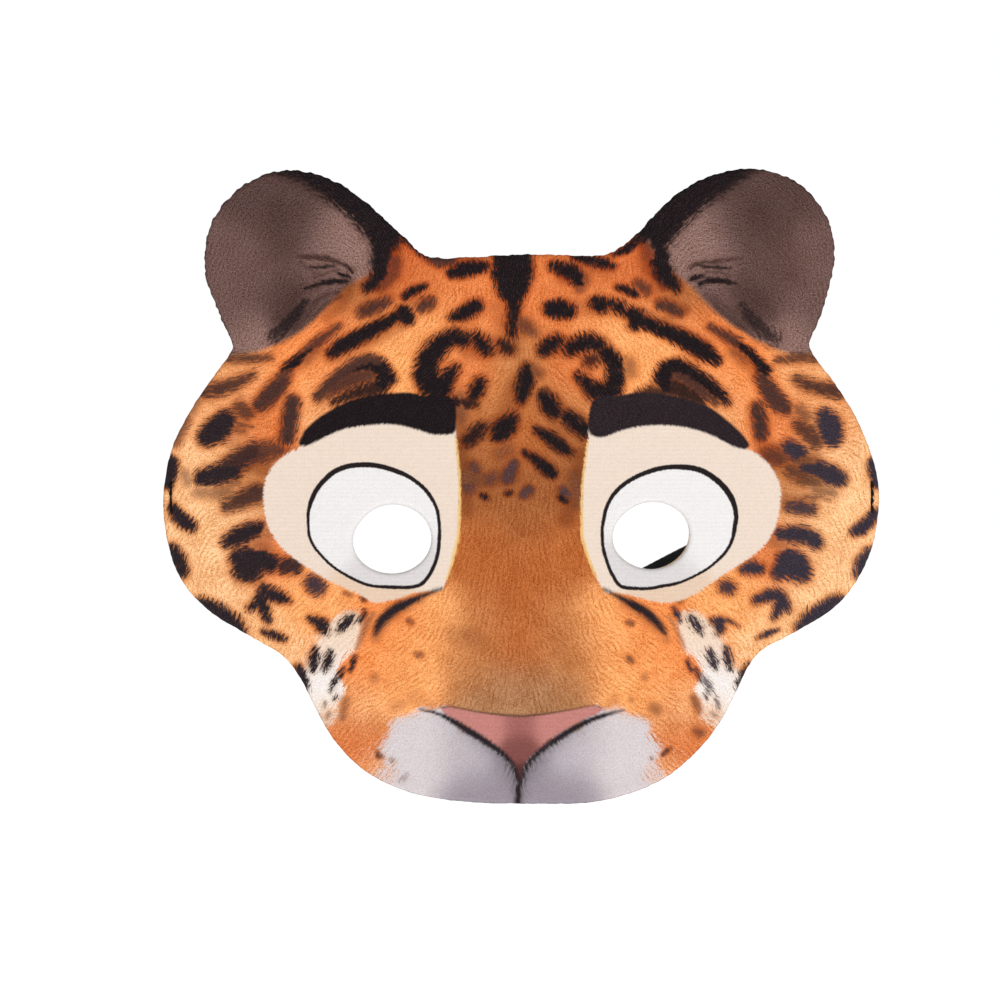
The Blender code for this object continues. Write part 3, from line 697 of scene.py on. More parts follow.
BAND_LEFT = [
    (268, 172), (276, 174.6), (285, 177), (294, 180), (302.9, 184), (312, 190), (320.7, 196.5), (330, 203), (338.6, 209.5),
    (346, 216), (352.9, 223.5), (359, 230), (365.4, 237), (371, 245), (378, 252), (392, 250), (404, 238), (392, 216),
    (374, 200), (350, 180), (322, 166), (290, 160), (266, 166),
]  # fmt: skip
BAND_RIGHT = [
    (756, 171), (748, 176), (742.9, 180), (734, 186), (725, 192.5), (716, 199), (707, 206), (699, 212.5), (692.9, 219),
    (686, 226), (680.4, 232), (674, 240), (669.6, 246), (662, 256), (652, 250), (638, 240), (632, 232), (648, 214), (670, 192),
    (700, 170), (740, 160), (762, 164),
]  # fmt: skip

BROW_LEFT = [
    (298.4, 444.3), (302.5, 434), (308.2, 426.4), (324.3, 413.9), (347.5, 401.4), (374.3, 394.6), (401, 392.6), (415.3, 393.4),
    (424.3, 396), (436, 393), (448, 396), (455, 402), (456.4, 415), (456, 429), (452, 434), (440, 434.8),
    (430.6, 434), (418.9, 430.2), (401, 425.6), (383.2, 424.2), (356.4, 426.8), (338.6, 431), (320.7, 439.4),
    (306, 446),
]  # fmt: skip
BROW_RIGHT = [
    (593, 400), (604, 395.5), (617.4, 395.5), (635.7, 392.8), (662.5, 393.8), (689.3, 400), (710.7, 408), (728.6, 421.4),
    (742.9, 435), (749.4, 446), (744, 449.2), (734, 446.6), (725, 442), (707, 433.6), (685.7, 427.4), (662.5, 425.2),
    (639.3, 426.6), (621.4, 430.6), (608.9, 435.6), (599.6, 437.6), (590.4, 434.6), (588, 426), (589.4, 411),
]  # fmt: skip

LINES = [
    # the fold under each eye
    ("K", 0.75, 1.0, [(441, 588.5, 0.3), (432, 592, 0.9), (422, 596, 1.8), (411, 601, 3), (401, 606, 4)]),
    ("K", 0.9, 1.0, [(401, 605.5, 4.2), (391, 612, 4.4), (383, 619, 4.2), (377.5, 627, 3.2), (375.5, 633, 1.6)]),
    ("K", 0.75, 1.0, [(604, 589, 0.2), (614, 594.4, 0.9), (623, 599.2, 1.9), (632, 604, 3), (641, 609.4, 3.8)]),
    ("K", 0.9, 1.0, [(641, 609, 4), (648.5, 614.5, 3.8), (656, 621.5, 3.4), (662, 628.5, 2.4), (665, 633, 1)]),
    ("M", 0.7, 0.6, [(373, 614, 1.6), (368, 622, 2.2), (363.5, 631, 2.2), (360, 641, 1.8), (357, 648, 1)]),
    ("M", 0.7, 0.5, [(668, 616, 1), (673, 623, 1.5), (677, 631, 1.7), (681, 640, 1.5), (684, 648, 0.7)]),
    # the line under the nose, and the cleft
    ("K", 0.55, 1.0, [(420, 709.6, 0.8), (432, 711.8, 1.3), (442.4, 715.4, 1.9), (451, 720, 2.6), (459, 725, 3.2)]),
    ("K", 0.6, 1.0, [(459, 725, 3.2), (467, 730, 3.6), (475.6, 735.2, 3.6), (484, 740.4, 3.4), (492, 745.6, 3.1)]),
    ("K", 0.6, 1.0, [(492, 745.6, 3.1), (499, 750.6, 2.8), (506, 756.4, 2.4), (512, 762.6, 2.0), (516, 772, 1.8), (518.4, 782, 2.1)]),
    ("K", 0.6, 1.0, [(518.6, 780, 2.1), (518.3, 790, 2.5), (517.9, 799, 2.8), (517.8, 806, 3.0)]),
    ("K", 0.55, 1.0, [(624, 710, 0.8), (615, 712, 1.6), (606, 714.8, 2.1), (599, 717, 2.3), (592, 719.4, 2.5)]),
    ("K", 0.6, 1.0, [(592, 719.4, 2.5), (583, 723.6, 2.8), (574.6, 728.2, 3.1), (566, 733.2, 3.2), (558, 738.2, 3.2), (551, 743, 3)]),
    ("K", 0.6, 0.95, [(551, 742, 3.4), (544, 748, 2.8), (536, 754.6, 2.2), (529, 761.6, 1.8), (524, 771, 1.5), (521, 781, 1.6)]),
    ("B", 0.35, 0.8, [(441, 707.6, 0.8), (450, 706.4, 0.8), (462, 708.6, 0.8), (476, 711.6, 0.8), (492, 713.8, 0.9)]),
    ("B", 0.35, 0.85, [(492, 713.8, 0.9), (508, 715.4, 1.0), (524, 716, 1.0), (540, 714.6, 0.9), (556, 712.2, 0.8)]),
    ("B", 0.35, 0.75, [(556, 712.2, 0.8), (572, 709.4, 0.7), (584, 706.8, 0.7), (594, 705.2, 0.7), (602, 707.6, 0.6)]),
]  # fmt: skip

YELLOW_RIM = [
    [(447, 579, 1.0), (452.5, 561, 1.4), (458, 538, 1.6), (459.5, 507, 1.5), (459.5, 476.5, 1.3), (456, 440, 1.0)],
    [(588, 441, 0.8), (583, 476.5, 1.1), (581.6, 507, 1.3), (582.3, 537.8, 1.5), (589, 560, 1.3), (596, 577, 1.0)],
]

EYE_LEFT = [
    (306.8, 522.9), (306.8, 512), (309, 500.6), (314, 489.4), (321.6, 479.4), (331.6, 470.4), (343.6, 464.8), (357, 462.4),
    (370.7, 462.4), (384, 464.6), (397.5, 469), (409, 474.4), (419.6, 481.8), (428.4, 490.2), (435, 500.6), (439.2, 511),
    (440.8, 522.9), (441.2, 536), (440.2, 550), (437.8, 561), (433.8, 570.8), (428.4, 579.6), (421.6, 586.2),
    (412, 588.8), (404.6, 589.2), (388, 588.8), (370.7, 587), (360, 583.6), (349.3, 578.4), (338.4, 572), (328.8, 564.8),
    (321, 557), (314, 548.8), (309.8, 541.4), (307.4, 533.6),
]  # fmt: skip
EYE_RIGHT = [
    (600.6, 535.4), (600.8, 527), (602, 518.8), (603.8, 510), (606.9, 501.8), (611.4, 494), (617.6, 486.9), (625.4, 480.6),
    (634.6, 475.2), (645.2, 470.4), (656.6, 466.8), (667, 464.9), (676.8, 464.4), (687, 464.6), (696.4, 466), (706.4, 469.8),
    (715.2, 475.4), (723.2, 482), (729.8, 489.8), (734.8, 498.6), (737.6, 508.4), (738.4, 518), (737, 526.4), (735.2, 535.6),
    (732, 544.3), (726, 554), (717.9, 562), (708, 569.8), (696.4, 576.4), (686, 581.4), (675, 585.4), (663, 587.6),
    (650, 590), (636, 590.2), (623, 589), (617, 585.4), (613, 579.4), (608.8, 571.4), (605.6, 562.6), (603, 554.4),
    (601.3, 546),
]  # fmt: skip
# thickness of the black eye line on the grid, at places on the loop
EYE_LINE = [
    (308, 525, 14, 2.6), (318, 490, 14, 4.2), (330, 478, 14, 4.6), (355, 466, 14, 4.6), (385, 466, 14, 4.4), (418, 483, 14, 3.6),
    (439, 515, 14, 3.0), (440, 548, 14, 3.2), (430, 576, 12, 3.4), (400, 588, 14, 3.2), (365, 585, 14, 2.6), (330, 564, 14, 2.4),
    (602, 535, 14, 2.9), (605, 512, 14, 3.3), (625, 484, 14, 3.8), (660, 467, 14, 4.2), (700, 469, 14, 5.0), (728, 491, 14, 5.2),
    (737, 520, 14, 4.0), (730, 547, 14, 2.8), (700, 574, 14, 2.3), (655, 588, 14, 2.9), (620, 586, 12, 3.2), (607, 562, 14, 3.0),
]  # fmt: skip

PATCH_LEFT = [
    (299.3, 447.9), (290.5, 451.6), (283.2, 456.8), (276, 462.6), (270.7, 469.3), (266.6, 477), (264.5, 485.4), (263.4, 494),
    (263.6, 503.2), (264.6, 513), (267, 522.9), (270.8, 532), (276, 540.7), (282, 547.6), (288.6, 554), (302.9, 564.6),
    (320.7, 576), (338.6, 585.4), (352.9, 591.8), (364, 597), (372, 602.4), (380, 602.6), (392, 600), (402, 597.8),
    (412, 593.4), (424, 591.6), (436, 591.2), (442.6, 588.8), (446.4, 580.6), (449.6, 571), (452.6, 560.7),
    (455.6, 550), (457.8, 537.8), (459.2, 523), (459.6, 507), (459.6, 492), (459, 476.5), (457.6, 458), (455.4, 430.6),
    (452, 420), (420, 405), (370, 405), (330, 420), (306, 436),
]  # fmt: skip
PATCH_RIGHT = [
    (747.3, 448.8), (754.4, 452), (760.7, 456.8), (767.6, 463.4), (773.2, 471), (777.6, 479), (780.4, 487), (781, 494),
    (780.4, 501.4), (779.2, 512), (776.8, 522.9), (773, 532), (767.9, 540.7), (761.4, 548.4), (753.6, 555), (737.5, 565.7),
    (717.9, 578.2), (700, 591.5), (686, 598.6), (674, 602), (662, 602.6), (650, 600.8), (638, 597.4), (627, 594.6),
    (616, 592.6), (609, 593.4), (603.6, 589.8), (597.5, 579), (593.4, 570), (589.8, 560.7), (585.8, 550), (582.6, 537.8),
    (581.8, 523), (581.8, 507), (582.2, 492), (583.4, 476.5), (585.6, 458), (588.4, 438), (592, 424), (620, 410),
    (670, 408), (715, 424), (738, 440),
]  # fmt: skip

NOSE = [
    (441.4, 708.6), (445, 706.8), (451, 707), (467.3, 710), (492.2, 714.2), (508, 715.8), (524.9, 716.5), (549.8, 713.4),
    (574.6, 709.3), (592.9, 706), (600, 706.6), (602.4, 709), (598, 713.4), (585, 719), (574.6, 724.6), (558, 735),
    (544.8, 746.4), (533.2, 754), (525.6, 763.5), (522.4, 774), (519.6, 784), (516, 775), (512.6, 763.5), (504.4, 753.6),
    (492.2, 743.6), (475.6, 732), (459, 721.8), (447, 715.6),
]  # fmt: skip

EAR_LEFT = [
    (380, 262), (376, 268), (369, 275), (357, 280.5), (346, 287.5), (336, 296.5), (327.6, 306), (318.4, 315.6), (310.6, 323.4),
    (302, 331), (293.9, 336), (282, 342), (270.7, 347), (260, 351), (249.3, 353.6), (240, 354), (226, 354), (205, 330),
    (188, 285), (188, 235), (215, 180), (262, 155), (310, 155), (360, 180), (400, 225), (388, 246),
]  # fmt: skip
EAR_RIGHT = [
    (662, 262), (668, 270), (678, 276), (689.3, 284.5), (695, 290), (700, 296.5), (708, 305), (716, 313), (725, 320),
    (733.9, 327), (743, 332), (751.8, 338), (760, 342), (769.6, 346), (779, 350.5), (789.3, 353.6), (800, 354),
    (816, 352), (835, 325), (850, 285), (850, 235), (825, 180), (780, 155), (735, 155), (680, 178), (640, 225), (650, 246),
]  # fmt: skip

# ---------------------------------------------------------------- the drawing: broad colour zones (u, v, radius, tone)

TONES = {
    "rust": (204, 106, 54), "amber": (224, 128, 70), "orange": (242, 146, 80), "apricot": (250, 172, 106),
    "sand": (248, 192, 138), "straw": (236, 166, 110), "bark": (160, 96, 52), "chestnut": (182, 102, 50),
    "fawn": (194, 126, 74), "taupe": (170, 124, 86), "milk": (246, 238, 234), "oat": (242, 216, 194),
    "pearl": (224, 214, 216), "mist": (196, 187, 193), "slate": (160, 150, 160), "soot": (86, 63, 59),
    "cocoa": (108, 81, 75), "mushroom": (142, 110, 102), "cream": (236, 217, 201), "shaded cream": (230, 202, 178),
    "white": (238, 235, 234), "shaded white": (220, 215, 214), "pink": (196, 130, 122), "rose": (162, 100, 94),
    "wine": (130, 77, 72), "plum": (82, 48, 45),
}  # fmt: skip
MIDDLE = 520


def both(rows):
    """Zones drawn for one half of the face, and the same zones on the other half."""
    rows = [(u, v, r, TONES[c] if isinstance(c, str) else c) for u, v, r, c in rows]
    return rows + [(2 * MIDDLE - u, v, r, c) for u, v, r, c in rows if u != MIDDLE]


WARM = both([
    # forehead
    (MIDDLE, 280, 24, "amber"), (460, 290, 32, "amber"), (408, 270, 24, "rust"), (350, 290, 16, "bark"), (430, 330, 22, "apricot"),
    (340, 334, 22, "amber"), (376, 356, 24, "apricot"), (300, 366, 24, "orange"), (330, 406, 22, "straw"), (466, 368, 20, "amber"),
    (MIDDLE, 360, 20, "fawn"), (480, 410, 20, "fawn"),
    # temple and cheek
    (240, 362, 18, "straw"), (264, 424, 18, "amber"), (214, 420, 24, "straw"), (194, 470, 24, "sand"), (246, 482, 16, "fawn"),
    (206, 540, 28, "sand"), (264, 560, 18, "amber"), (226, 600, 24, "sand"), (306, 604, 24, "apricot"), (268, 640, 20, "sand"),
    # bridge of the nose
    (MIDDLE, 430, 24, "chestnut"), (474, 470, 24, "bark"), (MIDDLE, 510, 26, "bark"), (480, 560, 26, "chestnut"),
    (MIDDLE, 590, 24, "chestnut"), (444, 608, 14, "apricot"), (476, 620, 20, "fawn"), (MIDDLE, 650, 24, "chestnut"),
    (468, 664, 20, "fawn"), (490, 694, 20, "taupe"), (MIDDLE, 694, 18, "taupe"),
    # side of the muzzle
    (390, 628, 22, "orange"), (420, 650, 22, "apricot"), (376, 664, 20, "orange"), (404, 686, 20, "apricot"), (362, 706, 18, "straw"),
    (356, 744, 18, "amber"), (384, 774, 16, "straw"),
])  # fmt: skip

PALE = both([
    (350, 634, 16, "oat"), (324, 682, 18, "milk"), (300, 652, 14, "oat"), (330, 712, 12, "oat"), (398, 748, 18, "pearl"),
    (428, 762, 20, "pearl"), (464, 756, 18, "mist"), (466, 792, 16, "slate"), (504, 786, 16, "slate"),
])  # fmt: skip

# how far the pale fur reaches: (u, v, radius, share)
PALE_REACH = [(u, v, r, c[0]) for u, v, r, c in both([
    (346, 634, 14, (1.0,)), (326, 656, 12, (0.8,)), (326, 690, 13, (1.0,)), (331, 712, 9, (0.6,)), (300, 645, 12, (0.3,)),
    (268, 640, 14, (0.05,)), (316, 604, 14, (0.05,)), (372, 640, 12, (0.0,)), (358, 674, 12, (0.0,)), (352, 706, 10, (0.0,)),
    (348, 732, 10, (0.0,)), (376, 732, 11, (0.15,)), (372, 760, 10, (0.25,)), (392, 748, 11, (0.8,)), (388, 774, 10, (0.6,)),
    (406, 726, 12, (0.85,)), (425, 714, 9, (0.75,)), (440, 724, 12, (1.0,)), (420, 755, 18, (1.0,)), (450, 770, 20, (1.0,)),
    (490, 775, 20, (1.0,)), (414, 788, 14, (1.0,)), (480, 745, 12, (1.0,)), (402, 702, 12, (0.0,)), (430, 700, 8, (0.0,)),
    (385, 695, 16, (0.0,)), (400, 660, 30, (0.0,)), (MIDDLE, 640, 60, (0.0,)), (MIDDLE, 500, 80, (0.0,)), (300, 560, 40, (0.0,)),
    (220, 560, 40, (0.0,)),
])]  # fmt: skip

EAR_COLOURS = both([
    (216, 250, 22, "cocoa"), (226, 310, 20, "cocoa"), (252, 340, 16, "mushroom"), (252, 262, 22, "cocoa"), (252, 200, 20, "soot"),
    (292, 230, 22, "soot"), (284, 296, 18, "soot"), (336, 248, 20, "mushroom"), (322, 290, 16, "cocoa"),
])  # fmt: skip

CREAM = both([(292, 500, 40, "cream"), (400, 440, 40, "cream"), (448, 540, 30, "cream"), (372, 594, 22, "shaded cream")])
EYE_WHITE = both([(350, 506, 30, "white"), (384, 576, 20, "shaded white")])
NOSE_PINK = both([
    (460, 713, 16, "pink"), (490, 724, 14, "pink"), (MIDDLE, 722, 14, "rose"), (MIDDLE, 748, 12, "wine"), (MIDDLE, 774, 8, "plum"),
])  # fmt: skip

# lie of the fur: (u, v, radius, degrees from the right, turning up)
FUR = [
    (515, 270, 40, 90), (470, 280, 34, 100), (560, 280, 34, 80), (430, 300, 30, 55), (395, 330, 30, 55), (350, 345, 26, 50),
    (345, 385, 26, 38), (300, 350, 22, 40), (270, 385, 22, 30), (240, 360, 22, 8), (225, 385, 22, 14), (230, 420, 26, -4),
    (290, 420, 18, 70), (225, 470, 28, 14), (245, 500, 24, 8), (240, 530, 24, 22), (245, 565, 24, 30), (190, 480, 24, 70),
    (185, 530, 24, 60), (180, 565, 22, 80), (225, 610, 22, 80), (270, 600, 20, 60), (300, 590, 20, 30), (325, 620, 18, 50),
    (345, 620, 16, 55), (275, 635, 16, 75), (315, 660, 16, 62), (332, 660, 14, 55), (300, 680, 14, 70), (340, 680, 12, 60),
    (440, 350, 24, 40), (475, 370, 26, 46), (495, 400, 26, 42), (470, 420, 20, 50), (515, 330, 20, 90), (530, 390, 18, 100),
    (560, 370, 24, 130), (585, 400, 24, 132), (600, 350, 22, 110), (545, 440, 20, 140), (500, 440, 20, 45), (620, 330, 26, 120),
    (670, 335, 28, 128), (690, 385, 26, 138), (740, 350, 22, 140), (770, 390, 22, 150), (800, 365, 22, 172), (815, 390, 22, 166),
    (815, 425, 26, 184), (757, 425, 18, 110), (810, 470, 28, 168), (800, 503, 24, 174), (800, 535, 24, 160), (795, 570, 24, 150),
    (855, 485, 24, 110), (858, 525, 22, 120), (860, 565, 22, 100), (820, 612, 22, 100), (770, 600, 20, 120), (728, 590, 20, 130),
    (720, 622, 16, 130), (695, 622, 16, 125), (766, 634, 14, 105), (728, 656, 16, 118), (711, 656, 14, 125), (742, 675, 14, 110),
    (515, 480, 30, 85), (480, 540, 30, 75), (560, 540, 30, 100), (515, 600, 30, 88), (460, 600, 26, 70), (575, 600, 26, 110),
    (470, 660, 30, 62), (560, 660, 30, 118), (515, 690, 26, 90), (400, 640, 30, 40), (630, 640, 30, 140), (400, 700, 30, 30),
    (640, 700, 30, 150), (360, 740, 24, 55), (685, 740, 24, 125), (440, 760, 30, 60), (600, 760, 30, 120), (490, 780, 20, 65),
    (545, 780, 20, 115), (375, 430, 30, 80), (660, 430, 30, 100), (285, 500, 24, 85), (760, 500, 24, 95), (450, 510, 20, 90),
    (592, 510, 20, 90), (380, 410, 26, 60), (660, 410, 26, 120), (330, 420, 20, 45), (720, 430, 20, 140),
    (225, 240, 26, 70), (220, 290, 26, 78), (245, 330, 20, 95), (255, 200, 22, 50), (290, 195, 20, 30), (260, 260, 24, 70),
    (310, 225, 20, 12), (330, 250, 18, 168), (320, 275, 16, 160), (355, 262, 14, 120), (310, 300, 18, 40), (285, 325, 16, 48),
    (325, 305, 14, 45), (345, 205, 22, 138), (375, 235, 16, 130), (380, 270, 16, 95), (300, 176, 14, 165),
    (815, 240, 26, 110), (822, 290, 26, 102), (800, 330, 20, 85), (785, 200, 22, 130), (750, 195, 20, 150), (785, 260, 24, 110),
    (730, 225, 20, 168), (710, 250, 18, 12), (720, 275, 16, 20), (686, 262, 14, 60), (730, 300, 18, 140), (758, 325, 16, 132),
    (718, 305, 14, 135), (695, 205, 22, 42), (665, 235, 16, 50), (660, 270, 16, 85), (740, 175, 14, 15),
]  # fmt: skip


def spans(chains, reach):
    """Each capsule of each chain, in mm: (a, b, radius at a, radius at b)."""
    for kind, soft, strength, chain in chains:
        pts = np.array([(to_x(u), to_z(v)) for u, v, _ in chain])
        radii = [r * GRID for _, _, r in chain]
        yield kind, soft, strength, pts, radii, reach


def smudge_field(p, chains):
    """Soft brown stains: their strength from 0 to 1."""
    out = np.zeros(len(p))
    for soft, strength, chain in chains:
        pts = np.array([(to_x(u), to_z(v)) for u, v, _ in chain])
        radii = [r * GRID for _, _, r in chain]
        idx = near(p, pts, max(radii) + 2 * soft)
        if not len(idx):
            continue
        q = p[idx]
        best = np.full(len(q), -1e9)
        for k in range(len(pts) - 1):
            d, t = line_distance(q, pts[k], pts[k + 1])
            best = np.maximum(best, radii[k] + (radii[k + 1] - radii[k]) * t - d)
        out[idx] = np.maximum(out[idx], strength * ramp(best, -soft, soft))
    return out


def ink_field(p, chains, shapes=(), reach=6.0):
    """The union of the markings: how deep each point lies in ink as a multiple of the soft edge, with the
    ink's colour and strength there."""
    depth = np.full(len(p), -reach)
    colour = np.zeros((len(p), 4))
    colour[:] = (*rgb(*INK["K"]), 1.0)

    def lay(idx, d, kind, soft, strength):
        s = np.clip(d / soft, -reach, reach)
        win = s > depth[idx]
        depth[idx[win]] = s[win]
        colour[idx[win]] = (*rgb(*INK[kind]), strength)

    for kind, soft, strength, pts, radii, _ in spans(chains, reach):
        idx = near(p, pts, max(radii) + reach * soft)
        if not len(idx):
            continue
        q = p[idx]
        best = np.full(len(q), -1e9)
        if len(pts) == 1:
            best = radii[0] - np.hypot(q[:, 0] - pts[0, 0], q[:, 1] - pts[0, 1])
        for k in range(len(pts) - 1):
            d, t = line_distance(q, pts[k], pts[k + 1])
            best = np.maximum(best, radii[k] + (radii[k + 1] - radii[k]) * t - d)
        lay(idx, best + (0.26 if soft >= 0.7 else 0.0), kind, soft, strength)
    for kind, soft, strength, loop in shapes:
        idx = near(p, loop, reach * soft + 1.0)
        q = p[idx]
        d = loop_distance(q, loop)
        lay(idx, np.where(inside(q, loop), d, -d), kind, soft, strength)
    return depth, colour


def draw(p):
    """Every field of the print at the points p (X and Z in mm)."""
    fields = {}
    warm = colour_blobs(p, WARM, 0.5)
    ear_in = np.maximum(signed_loop(p, grid_curve(EAR_LEFT, 2.0)), signed_loop(p, grid_curve(EAR_RIGHT, 2.0)))
    ear = ramp(ear_in, -0.9, 0.9)[:, None]
    ears = colour_blobs(p, EAR_COLOURS, 0.55)
    fields["warm"] = np.concatenate([warm * (1 - ear) + ears * ear, ear], axis=1)
    fields["pale"] = np.concatenate([colour_blobs(p, PALE, 0.6), np.ones((len(p), 1))], axis=1)
    reach = blobs(p, PALE_REACH)[:, 0]
    low = ramp(-p[:, 1], 16.0, 22.0)
    fields["pale_share"] = reach * low
    fields["cream"] = np.concatenate([colour_blobs(p, CREAM), np.ones((len(p), 1))], axis=1)
    fields["eye_white"] = np.concatenate([colour_blobs(p, EYE_WHITE), np.ones((len(p), 1))], axis=1)
    fields["nose_pink"] = np.concatenate([colour_blobs(p, NOSE_PINK), np.ones((len(p), 1))], axis=1)

    spots = SPOTS_LEFT + MUZZLE_LEFT + FOREHEAD_LEFT + CENTRE + FOREHEAD_RIGHT + EARS
    bands = [("D", 1.3, 1.0, grid_curve(BAND_LEFT, 1.5)), ("D", 1.3, 1.0, grid_curve(BAND_RIGHT, 1.5))]
    fields["spot"], fields["spot_ink"] = ink_field(p, spots, bands)
    fields["smudge"] = smudge_field(p, SMUDGES)
    brows = [("D", 0.42, 1.0, grid_curve(BROW_LEFT, 1.2)), ("K", 0.42, 1.0, grid_curve(BROW_RIGHT, 1.2))]
    fields["line"], fields["line_ink"] = ink_field(p, LINES, brows)
    rims = [("M", 0.35, 1.0, chain) for chain in YELLOW_RIM]
    fields["rim"] = ink_field(p, rims)[0]

    patch = np.maximum(signed_loop(p, grid_curve(PATCH_LEFT, 1.0)), signed_loop(p, grid_curve(PATCH_RIGHT, 1.0)))
    fields["patch"] = patch
    fields["nose"] = signed_loop(p, grid_curve(NOSE, 0.8))
    fields["eye"] = np.maximum(signed_loop(p, grid_curve(EYE_LEFT, 0.8)), signed_loop(p, grid_curve(EYE_RIGHT, 0.8)))
    fields["eye_line"] = 1.15 * blobs(p, EYE_LINE)[:, 0] * GRID

    # the shadow printed under the nose, over a faint one on the whole muzzle
    under = [(446, 716), (459, 724), (475, 735), (490, 745), (502, 753), (510, 762), (516, 776), (518, 800)]
    under_r = [(598, 717), (590, 719), (574, 727), (558, 738), (545, 748), (533, 758), (525, 768), (521, 784), (519, 800)]
    shade = 0.10 * ramp(-p[:, 1], -to_z(712), -to_z(722)) * ramp(34.0 - np.abs(p[:, 0]), 0.0, 8.0)
    for line, top in ((under, 0.72), (under_r, 0.80)):
        pts = np.array([(to_x(u), to_z(v)) for u, v in line])
        d = loop_distance(p, pts, closed=False)
        middle = np.exp(-(((p[:, 0] - to_x(519)) / 17.0) ** 2))
        deep = 0.30 + 0.70 * np.exp(-(((p[:, 1] - to_z(752)) / 8.0) ** 2)) * middle
        shade = np.maximum(shade, 0.08 + top * np.exp(-d / (3.6 * deep)) * (0.34 + 0.66 * middle))
    fields["shade"] = shade * ramp(-p[:, 1], -to_z(709), -to_z(716))

    turn = blobs(p, [(u, v, r, math.cos(2 * math.radians(a)), math.sin(2 * math.radians(a))) for u, v, r, a in FUR])
    fields["lie_cos"] = turn[:, 0]
    fields["lie_sin"] = turn[:, 1]
    return fields


# ---------------------------------------------------------------- the flat pieces


def bend(x, z):
    """How far the soft panel stands back from flat, in mm: the ears lean back a little, and it is never quite flat."""
    ears = 1.5 * ramp(z, 56.0, 104.0)
    chin = 0.7 * ramp(-z, 46.0, 80.0)
    wave = 0.16 * np.sin(x / 17.0 + 0.7) * np.cos(z / 21.0) * ramp(78.0 - np.abs(x), 0.0, 20.0)
    return ears + chin + wave


def soft_noise(p, scale, seed):
    return np.array([noise.noise(Vector((x / scale + seed, z / scale - seed, seed * 0.37))) for x, z in p])


def triangulate(loops, extra):
    """Triangles of the area inside the first loop and outside the others. Returns points, triangles and, for
    each loop, its points' numbers."""
    flat = np.concatenate(list(loops) + ([extra] if len(extra) else []))
    edges, first = [], 0
    for loop in loops:
        n = len(loop)
        edges += [(first + i, first + (i + 1) % n) for i in range(n)]
        first += n
    verts, _, tris, origin, _, _ = delaunay_2d_cdt([Vector(q) for q in flat.tolist()], edges, [], 0, 1e-7, True)
    pts = np.array([(v.x, v.y) for v in verts])
    tris = np.array(tris)
    mid = pts[tris].mean(axis=1)
    keep = inside(mid, loops[0])
    for hole in loops[1:]:
        keep &= ~inside(mid, hole)
    tris = tris[keep]
    where = {}
    for k, sources in enumerate(origin):
        for s in sources:
            where[s] = k
    numbers, first = [], 0
    for loop in loops:
        numbers.append(np.array([where[first + i] for i in range(len(loop))]))
        first += len(loop)
    return pts, tris, numbers


def hex_points(lo, hi, step, rng=None):
    nx, nz = int((hi[0] - lo[0]) / step) + 2, int((hi[1] - lo[1]) / (step * 0.866)) + 2
    i, j = np.meshgrid(np.arange(nx), np.arange(nz))
    x = lo[0] + (i + 0.5 * (j % 2)) * step
    z = lo[1] + j * step * 0.866
    out = np.stack([x.ravel(), z.ravel()], axis=1)
    if rng is not None:
        out += rng.uniform(-0.12, 0.12, out.shape) * step
    return out


def outward(loop):
    """Unit normals of a loop, pointing away from its inside."""
    nxt, prv = np.roll(loop, -1, axis=0), np.roll(loop, 1, axis=0)
    t = nxt - prv
    t /= np.linalg.norm(t, axis=1)[:, None]
    area = np.sum(loop[:, 0] * nxt[:, 1] - nxt[:, 0] * loop[:, 1])
    n = np.stack([t[:, 1], -t[:, 0]], axis=1)
    return n if area > 0 else -n


def make_object(name, verts, faces, mat, smooth=True):
    mesh = bpy.data.meshes.new(name)
    mesh.from_pydata(verts, [], faces)
    bm = bmesh.new()
    bm.from_mesh(mesh)
    loose = [v for v in bm.verts if not v.link_faces]
    if loose:
        raise RuntimeError(f"{name}: {len(loose)} loose points")
    bmesh.ops.recalc_face_normals(bm, faces=bm.faces)
    bm.to_mesh(mesh)
    bm.free()
    mesh.validate()
    if smooth:
        mesh.shade_smooth()
    mesh.materials.append(mat)
    obj = bpy.data.objects.new(name, mesh)
    bpy.context.scene.collection.objects.link(obj)
    return obj


